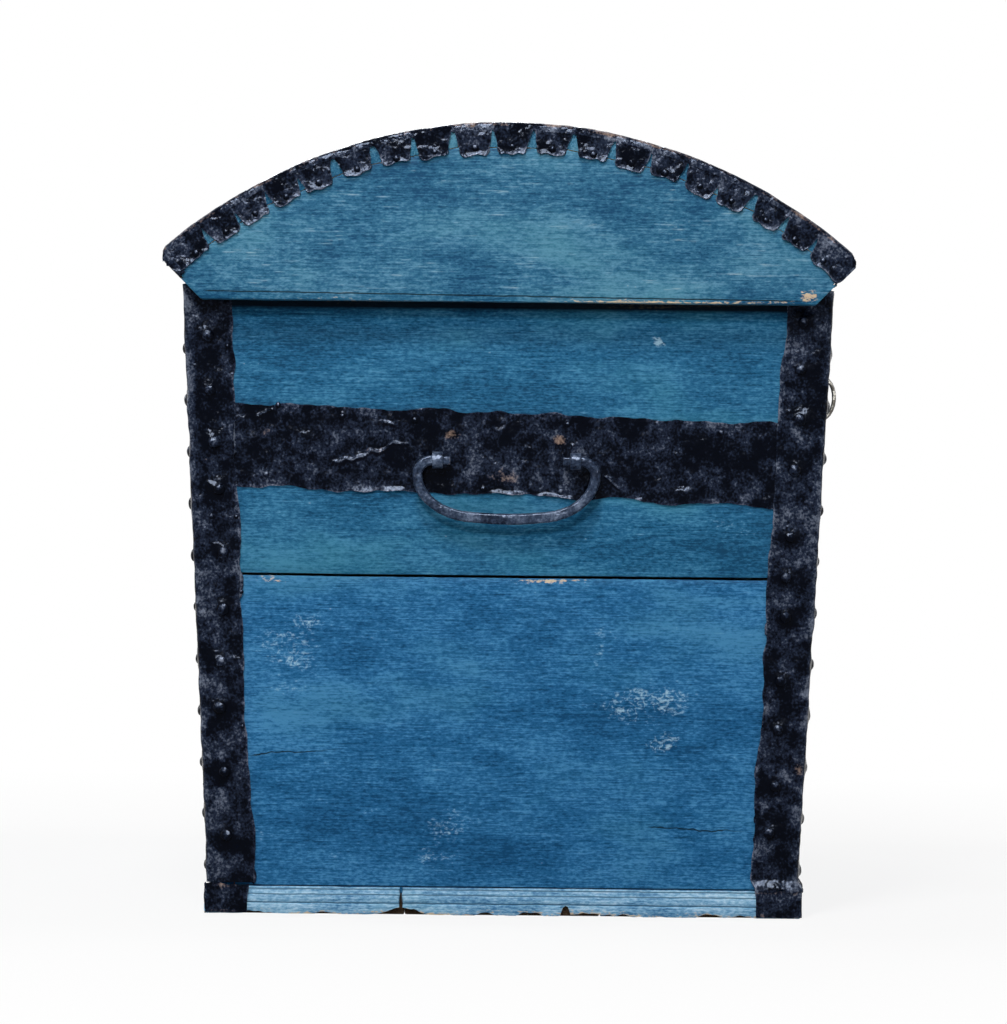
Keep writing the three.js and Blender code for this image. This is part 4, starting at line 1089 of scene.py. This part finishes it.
# %% Shoes
shoe_out = plinth_depth + fit * 2
shoe_reaches = (
    lambda z: half_length(plinth_height) + shoe_out,
    lambda z: half_depth(plinth_height) + shoe_out,
)
for corner, side, long_side in corners:
    node = f"plinth_shoe_{corner}"
    bare_top = corner == "left_back"  # no strap laps over this shoe, and it has lost its second leg too
    piece = folded_sheet(
        f"{node}_dressed",
        side,
        long_side,
        shoe_reaches,
        strap_leg,
        low=1 * MM,
        high=(30 if bare_top else 27) * MM,
        skin=1.2 * MM,
        thickness=1.1 * MM,
        tear=(7 if bare_top else 2) * MM,
        fold=3 * MM,
        legs=1 if bare_top else 2,
    )
    paint_by_place(piece, "rust", lambda at: 0.14 if at.z > 24 * MM or at.z < 5 * MM else 0.04)
    settle(piece, node, black_iron)
print("shoes:", len(corners))

# %% [markdown]
# ## The band across each end
#
# This is the thinnest iron of the coffer: a sheet that was nailed on a little crooked, so it runs lower at
# the front. Its edges wander, its lower lip has rolled outwards in places, and it has torn and creased. It
# could be sculpted by hand, but a fine grid whose points are moved by a few formulas takes the tilt, the
# wavy edges, the creases and the lip at once, and they can be changed again one by one.

# %% The band's place and its damage, in mm on the end wall
band_middle = 443.5 * MM
band_half = 40 * MM
band_tilt = 0.03
band_reach = half_depth(band_middle) - 32 * MM
creases = [  # each from one (y, z) to another
    ((173, 429), (94, 456)),
    ((-93, 425), (-110, 410)),
    ((243, 476), (222, 485)),
    ((119, 474), (105, 470)),
]
left_band_rust = [
    (236, 463, 16, 14, 0.12),
    (53, 462, 10, 6, 0.2),
    (-51, 456, 8, 7, 0.2),
    (6, 420, 18, 11, 0.14),
    (120, 447, 24, 6, 0.14),
]
left_lip = [(137, 12), (108, 12), (0, 20), (-49, 21)]  # rolled stretches, as (y, half length)
left_band_tacks = [
    (219, 488), (158, 478), (88, 475), (-58, 472), (230, 422), (22, 410), (-52, 408), (-205, 466),
]
even_tacks = [(250 - 83 * i, 443.5 + 2.5 * (3 - i) + edge * 31) for i in range(7) for edge in (-1, 1)]
print("tacks:", len(left_band_tacks), "and", len(even_tacks))


# %% Lip and creases
def lip_roll(y, side):
    """How far the lower lip has rolled outwards, from 0 to 1."""
    if side > 0:
        return max(0, 0.45 + ripple(y, 50 * MM, 1.4, side))
    return max(0.1, *[1 - ((y / MM - middle) / half) ** 4 for middle, half in left_lip])


def crease_height(y, z):
    """How high a crease stands at a place, from 0 to 1."""
    height = 0
    for (y0, z0), (y1, z1) in creases:
        share = (y / MM - y0) / (y1 - y0)
        if 0 < share < 1:
            line = z0 + (z1 - z0) * share + ripple(y, 9 * MM, 0.075 * abs(y1 - y0))
            near = math.exp(-(((z / MM - line) / 1.1) ** 2))
            height = max(height, near * min(1, 6 * share, 6 * (1 - share)))
    return height


print("the first crease, half way along it:", round(crease_height(133.5 * MM, 442.5 * MM), 2))

# %% End bands
for name, side in (("left", -1), ("right", 1)):
    node = f"{name}_end_band"
    piece = grid(f"{node}_dressed", 360, 70)
    tacks = [(y * MM, z * MM) for y, z in (left_band_tacks if side < 0 else even_tacks)]
    wear = []
    for vertex in piece.data.vertices:
        across, up = vertex.co.x, vertex.co.y
        y = across * band_reach
        edge = abs(up) * (ripple(y, 45 * MM, 4.5 * MM, up + side) + ripple(y, 13 * MM, 2 * MM, up))
        z = band_middle + band_tilt * y + up * (band_half + edge)
        rolled = near_edge(min(up, 0), 0.9) * lip_roll(y, side)
        torn = crease_height(y, z) if side < 0 else 0
        # Just below each crease the band is painted darker: a painted shadow of the crease.
        under = crease_height(y, z + 2.4 * MM) if side < 0 else 0
        ring = swelling((y, z), tacks, 5 * MM) * 0.9 * MM
        dents = lumps_at(Vector((y, z, side * 2.0))) * 1.1
        lift = 1.5 * MM + dents + rolled * 2 * MM + torn * 1.7 * MM + ring
        # The rolled lip and the crests of the creases are lighter, as worn paint and as a painted
        # highlight.
        rubbed = max(0.7 * near_edge(up, 0.96), 1.1 * rolled, 1.7 * torn)
        wear.append(edge_wear_and_highlight * rubbed - 0.1 * under - 0.02)
        vertex.co = (side * (half_length(z) + max(lift, 0.6 * MM)), y, z)
    paint_points(piece, "worn", wear)
    if (piece.data.polygons[0].normal.x > 0) != (side > 0):
        piece.data.flip_normals()
    finish_with(piece, "SOLIDIFY", thickness=0.9 * MM, offset=-1)
    places = [((side * (half_length(z) + 1.9 * MM), y, z), (side, 0, 0)) for y, z in tacks]
    add_nails(piece, places, 3 * MM)
    paint_by_place(piece, "rust", lambda at: spot_strength(at, left_band_rust) if side < 0 else 0.0)
    settle(piece, node, black_iron)
print("points in an end band:", len(piece.data.vertices))

# %% [markdown]
# ## The strap over each end of the lid
#
# The smith bent a strip over the dome and cut slits into its edge, so that the tongues between the slits
# could be hammered down over the end board. One grid with cuts in it would have to be torn open again where
# the tongues spread. So the strip is a grid laid along the dome, and each tongue is a small grid of its own
# that starts at the strip's edge. Every other one sits a little higher, as neighbours may overlap.

# %% The line of the strap over the lid
tab_count = 19
tab_pitch = 2 * dome_angle / tab_count
tab_reach = 30 * MM
tab_start = 2 * MM  # a tongue begins this far below the strap's outer line
tab_half_width = 20.6 * MM  # at its root
tab_narrowing = 7.8 * MM  # of that half width, down to the tip
tab_lap = 0.35 * MM  # how much higher every other tongue sits
strap_outer = dome_radius + 2.3 * MM
strap_width = 45 * MM  # how far the strip reaches in over the lid
strap_nail_row = 24 * MM  # from the end of the lid
strap_bend = 3.5 * MM  # radius of the bend over the edge of the lid
fold_drop = 16 * MM
# how far the photographed tongues were hammered to the front, in mm
tab_shifts = [2, 1, -2, -5, -7, -4, -1, 0, 3, 3, 5, 9, 10, 7, 7, 4, 6, 3, 0]
shift_share = 0.9


def on_dome(angle, radius):
    return Vector((radius * math.sin(angle), dome_centre + radius * math.cos(angle)))


def lid_line(step):
    """Points of the line in the plane of Y and Z, each with the direction outwards."""
    bevel_in = fold_drop - fit
    slant = math.sqrt(0.5)
    half = [
        (Vector((lid_half_depth - bevel_in, edge_low - bevel_in)), Vector((slant, -slant))),
        (Vector((lid_half_depth - 1 * MM, edge_low - 1 * MM)), Vector((slant, -slant))),
        (Vector((lid_half_depth, edge_low + 1.5 * MM)), Vector((1, 0))),
        (Vector((lid_half_depth, edge_high - 1.5 * MM)), Vector((1, 0))),
    ]
    count = round(2 * dome_angle * dome_radius / step)
    arc = []
    for i in range(count + 1):
        angle = dome_angle * (0.995 - 1.99 * i / count)
        arc.append((on_dome(angle, dome_radius), Vector((math.sin(angle), math.cos(angle)))))
    mirrored = [(Vector((-p.x, p.y)), Vector((-n.x, n.y))) for p, n in reversed(half)]
    return half + arc + mirrored


print("points along the strap:", len(lid_line(4 * MM)))


# %% One tongue
near_corner = 250 * MM  # from here outwards a tongue ends at the lid's slanted corner


def tongue(name, side, index):
    """index counts the tongues from the back of the coffer to its front."""
    piece = grid(name, 20, 16)
    angle = dome_angle - (index + 0.5) * tab_pitch
    outer_side = {0: -1, tab_count - 1: 1}.get(index, 0)  # the corner tongues reach out to the lid's corner
    turn = random.uniform(-0.04, 0.04)
    shift = (tab_shifts[index] * shift_share if side < 0 else random.uniform(-4, 4)) * MM
    reach = tab_reach * random.uniform(0.94, 1.06)
    raised = (index % 2) * tab_lap
    along_way = Vector((-math.cos(angle), math.sin(angle)))
    limit = lid_half_depth + 1.8 * MM
    wear = []
    for vertex in piece.data.vertices:
        across, down = vertex.co.x, (1 - vertex.co.y) / 2
        half_width = tab_half_width - tab_narrowing * down**0.8
        half_width += ripple(down, 0.4, 1.4 * MM, index + across)
        if across * outer_side > 0:
            half_width *= 2.0
        rounded = near_edge(across, 0.78)
        along = across * half_width + shift + turn * down * reach
        ragged = ripple(across, 0.7, 2.6 * MM, index * 3.1)
        drop = tab_start + down * (reach - tab_start - rounded**2 * 3 * MM + ragged)
        lift = 2.3 * MM + raised + lumps_at(Vector((along, drop, index * 1.7))) * 0.9
        lift += 0.8 * MM * max(0, down - 0.85) / 0.15
        # A tongue's sides are lighter with worn paint, and its lower lip more so, as worn paint and as a
        # painted highlight.
        wear.append(edge_wear_and_highlight * max(0.8 * near_edge(across, 0.88), 1.3 * near_edge(down, 0.92)))
        point = on_dome(angle, strap_outer - drop) + along_way * along
        y = min(max(point.x, -limit), limit)
        z = point.y
        if abs(y) > near_corner:
            z = max(z, edge_low - (limit - abs(y)) - 0.8 * MM)
        vertex.co = (side * (lid_half_length + min(lift, 4 * MM)), y, z)
    paint_points(piece, "worn", wear)
    if (sum(face.normal.x for face in piece.data.polygons) > 0) != (side > 0):
        piece.data.flip_normals()
    finish_with(piece, "SOLIDIFY", thickness=1.8 * MM, offset=-1)
    return piece


print("pitch of the tongues:", round(tab_pitch * dome_radius / MM, 1), "mm")

# %% Strip, tongues and nails
left_tongue_chip = [(276, 636, 10, 5, 0.4)]


def strap_rust(at):
    """The paint has worn off along the bend over the lid's edge, and off one photographed tongue."""
    radius = math.hypot(at.y, at.z - dome_centre)
    on_bend = abs(at.x) > lid_half_length - 6 * MM and radius > strap_outer - 4 * MM
    chip = spot_strength(at, left_tongue_chip) if at.x < 0 else 0
    return max(0.17 if on_bend else 0, chip)


def lid_end_strap(node, side):
    line = lid_line(4 * MM)
    piece = grid(f"{node}_dressed", 30, len(line))
    rows = sorted({round(vertex.co.y, 5) for vertex in piece.data.vertices})
    row_of = {row: i for i, row in enumerate(rows)}
    end_face = lid_half_length + 2.6 * MM
    wear = []
    for vertex in piece.data.vertices:
        point, outward = line[min(row_of[round(vertex.co.y, 5)], len(line) - 1)]
        inner = lid_half_length - strap_width + ripple(point.x, 40 * MM, 3 * MM, side)
        flat = end_face - strap_bend - inner
        bend = strap_bend * math.pi / 2
        run = (flat + bend + 4 * MM) * (vertex.co.x + 1) / 2
        lift = 2.1 * MM + lumps_at(Vector((run, point.x, side * 3.0))) * 0.7
        if run < flat:
            x, drop = inner + run, 0
        elif run < flat + bend:
            turn = (run - flat) / strap_bend
            x = end_face - strap_bend * (1 - math.sin(turn))
            drop = strap_bend * (1 - math.cos(turn))
        else:
            x, drop = end_face, strap_bend + run - flat - bend
        wear.append(edge_wear_and_highlight * (0.7 if run > flat - 2 * MM else near_edge(min(vertex.co.x, 0), 0.94)))
        place = point + outward * (lift - drop)
        vertex.co = (side * x, place.x, place.y)
    paint_points(piece, "worn", wear)
    if piece.data.polygons[len(piece.data.polygons) // 2 + 3].normal.z < 0:
        piece.data.flip_normals()
    finish_with(piece, "SOLIDIFY", thickness=1.7 * MM, offset=-1)
    tongues = [tongue(f"{node}_tongue_{i}", side, i) for i in range(tab_count)]
    nails = []
    for i in range(tab_count):
        angle = dome_angle - (i + 0.5) * tab_pitch
        shift = tab_shifts[i] * shift_share * MM if side < 0 else 0
        low_point = on_dome(angle, strap_outer - tab_reach + 6 * MM)
        low_point += Vector((-math.cos(angle), math.sin(angle))) * shift
        nails.append(((side * (lid_half_length + 2.4 * MM), low_point.x, low_point.y), (side, 0, 0)))
        high_point = on_dome(angle, strap_outer - 0.9 * MM)
        upwards = (0, math.sin(angle), math.cos(angle))
        nails.append(((side * (lid_half_length - strap_nail_row), high_point.x, high_point.y), upwards))
    select_only(piece)
    for part in tongues:
        part.select_set(True)
    bpy.ops.object.join()
    add_nails(piece, nails, 3.3 * MM)
    paint_by_place(piece, "rust", strap_rust)
    settle(piece, node, black_iron)


lid_end_strap("lid_end_strap_left", -1)
lid_end_strap("lid_end_strap_right", 1)
print("tongues on each lid strap:", tab_count)

# %% [markdown]
# ## Bail handles
#
# A bail is a square bar, drawn out on the anvil with its edges knocked flat, a little thicker where the
# hand holds it, and bent to a flat U. It could be extruded and turned stretch by stretch. A curve gives the
# bend in one go: a section slides along it, and the points' radius thickens the middle. The ends pass
# through the two eyes.

# %% The bend of the bail
handle_x = 567.947 * MM  # the axis that the CAD model's handle turns on
handle_z = 437 * MM
bail_half_width = 85 * MM
bail_drop = 56 * MM
bail_sag = 1.5 * MM
shoulder = 14 * MM
flat_half = 30 * MM
eye_spread = 66 * MM


def bail_path():
    """The bend from one tip to the other, as (y, z) from the handle's axis."""
    half = [(eye_spread - 12 * MM, 0), (eye_spread, 0)]
    for degrees in range(90, 0, -15):
        turn = math.radians(degrees)
        half.append((bail_half_width - shoulder * (1 - math.cos(turn)), shoulder * (math.sin(turn) - 1)))
    for degrees in range(0, 90, 9):
        turn = math.radians(degrees)
        y = flat_half + (bail_half_width - flat_half) * math.cos(turn)
        half.append((y, -shoulder - (bail_drop - bail_sag - shoulder) * math.sin(turn)))
    middle = [(y, -bail_drop + bail_sag * (y / flat_half) ** 2) for y in (20 * MM, 10 * MM, 0)]
    return half + middle + [(-y, z) for y, z in reversed(half + middle[:-1])]


print("points in the bend:", len(bail_path()))

# %% Forge the bails
bar_half = 4.7 * MM
bar_chamfer = 1.5 * MM


def section_curve():
    data = bpy.data.curves.new("bar_section", "CURVE")
    spline = data.splines.new("POLY")
    outline = []
    for turn in range(4):
        corner = Matrix.Rotation(turn * math.pi / 2, 2)
        for point in ((bar_half, bar_half - bar_chamfer), (bar_half - bar_chamfer, bar_half)):
            outline.append(corner @ Vector(point))
    spline.points.add(len(outline) - 1)
    for point, place in zip(spline.points, outline):
        point.co = (place.x, place.y, 0, 1)
    spline.use_cyclic_u = True
    section = bpy.data.objects.new("bar_section", data)
    bpy.context.scene.collection.objects.link(section)
    return section


for name, side in (("left", -1), ("right", 1)):
    node = f"{name}_handle"
    section = section_curve()
    data = bpy.data.curves.new(f"{node}_dressed", "CURVE")
    data.dimensions = "3D"
    data.bevel_mode = "OBJECT"
    data.bevel_object = section
    data.use_fill_caps = True
    path = bail_path()
    spline = data.splines.new("POLY")
    spline.points.add(len(path) - 1)
    for point, (y, z) in zip(spline.points, path):
        point.co = (side * handle_x, y, handle_z + z, 1)
        tip = abs(y) < eye_spread + 5 * MM and z > -1 * MM
        point.radius = 0.8 if tip else 1 + 0.16 * max(0, 1 - abs(y) / (70 * MM))
    piece = bpy.data.objects.new(f"{node}_dressed", data)
    bpy.context.scene.collection.objects.link(piece)
    select_only(piece)
    bpy.ops.object.convert(target="MESH")
    piece = bpy.context.object
    bpy.data.objects.remove(section)
    bpy.ops.object.mode_set(mode="EDIT")
    bpy.ops.mesh.select_all(action="SELECT")
    bpy.ops.mesh.remove_doubles(threshold=0.05 * MM)
    bpy.ops.mesh.normals_make_consistent(inside=False)
    bpy.ops.object.mode_set(mode="OBJECT")
    finish_with(piece, "BEVEL", width=0.5 * MM, segments=2, limit_method="ANGLE", angle_limit=0.5)
    weather(piece, [(30 * MM, 0.5 * MM), (9 * MM, 0.25 * MM)])
    tip_low = handle_z - 5 * MM  # the tips lie in the eyes, where no hand rubs the rust off them
    paint_by_place(piece, "rust", lambda at: 0.17 if abs(at.y) < 60 * MM and at.z > tip_low else 0)
    paint_by_place(piece, "worn", lambda at: 0.05 if at.z < handle_z - 40 * MM else 0.02)
    settle(piece, node, forged_iron, smooth=30)
print("faces of a bail:", len(piece.data.polygons))

# %% [markdown]
# ## The other iron, the lock and the key
#
# These pieces have the right shape in the CAD model, so modelling them anew would gain nothing. Their edges
# are broken with a small bevel, and the straps among them are cut into fields and hammered out of true like
# the rest.


# %% One metal piece
def dress_metal(node, material, bevel, step=None, warp=0.0, worn=0.0):
    """bevel, step and warp are in mm. Only a piece with a step is cut into fields and warped."""
    piece = copy_of(node)
    finish_with(piece, "BEVEL", width=bevel * MM, segments=2, limit_method="ANGLE", angle_limit=0.6)
    if step:
        low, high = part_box(node)
        for axis in range(3):
            if high[axis] - low[axis] > 40 * MM:
                cut_in_steps(piece, axis, step * MM)
        weather(piece, [(45 * MM, warp * MM), (13 * MM, warp * 0.4 * MM)])
    paint_by_place(piece, "worn", lambda at: worn)
    return settle(piece, node, material)


# %% Dress the other metal
for kind in ("front_band", "hinge_band", "lid_band"):
    for name in ("left", "right"):
        dress_metal(f"{kind}_{name}", black_iron, 0.4, step=9, warp=0.5)
dress_metal("escutcheon", black_iron, 0.4)
for name in ("left_staple_front", "left_staple_back", "right_staple_front", "right_staple_back"):
    dress_metal(name, forged_iron, 0.6, worn=0.04)
for name in ("hinge_pin_left", "hinge_pin_right"):
    dress_metal(name, forged_iron, 0.5)
for name in ("lock_plate", "lock_case", "lock_spring", "lock_bolt", "key", "lid_catch"):
    dress_metal(name, grey_steel, 0.35)
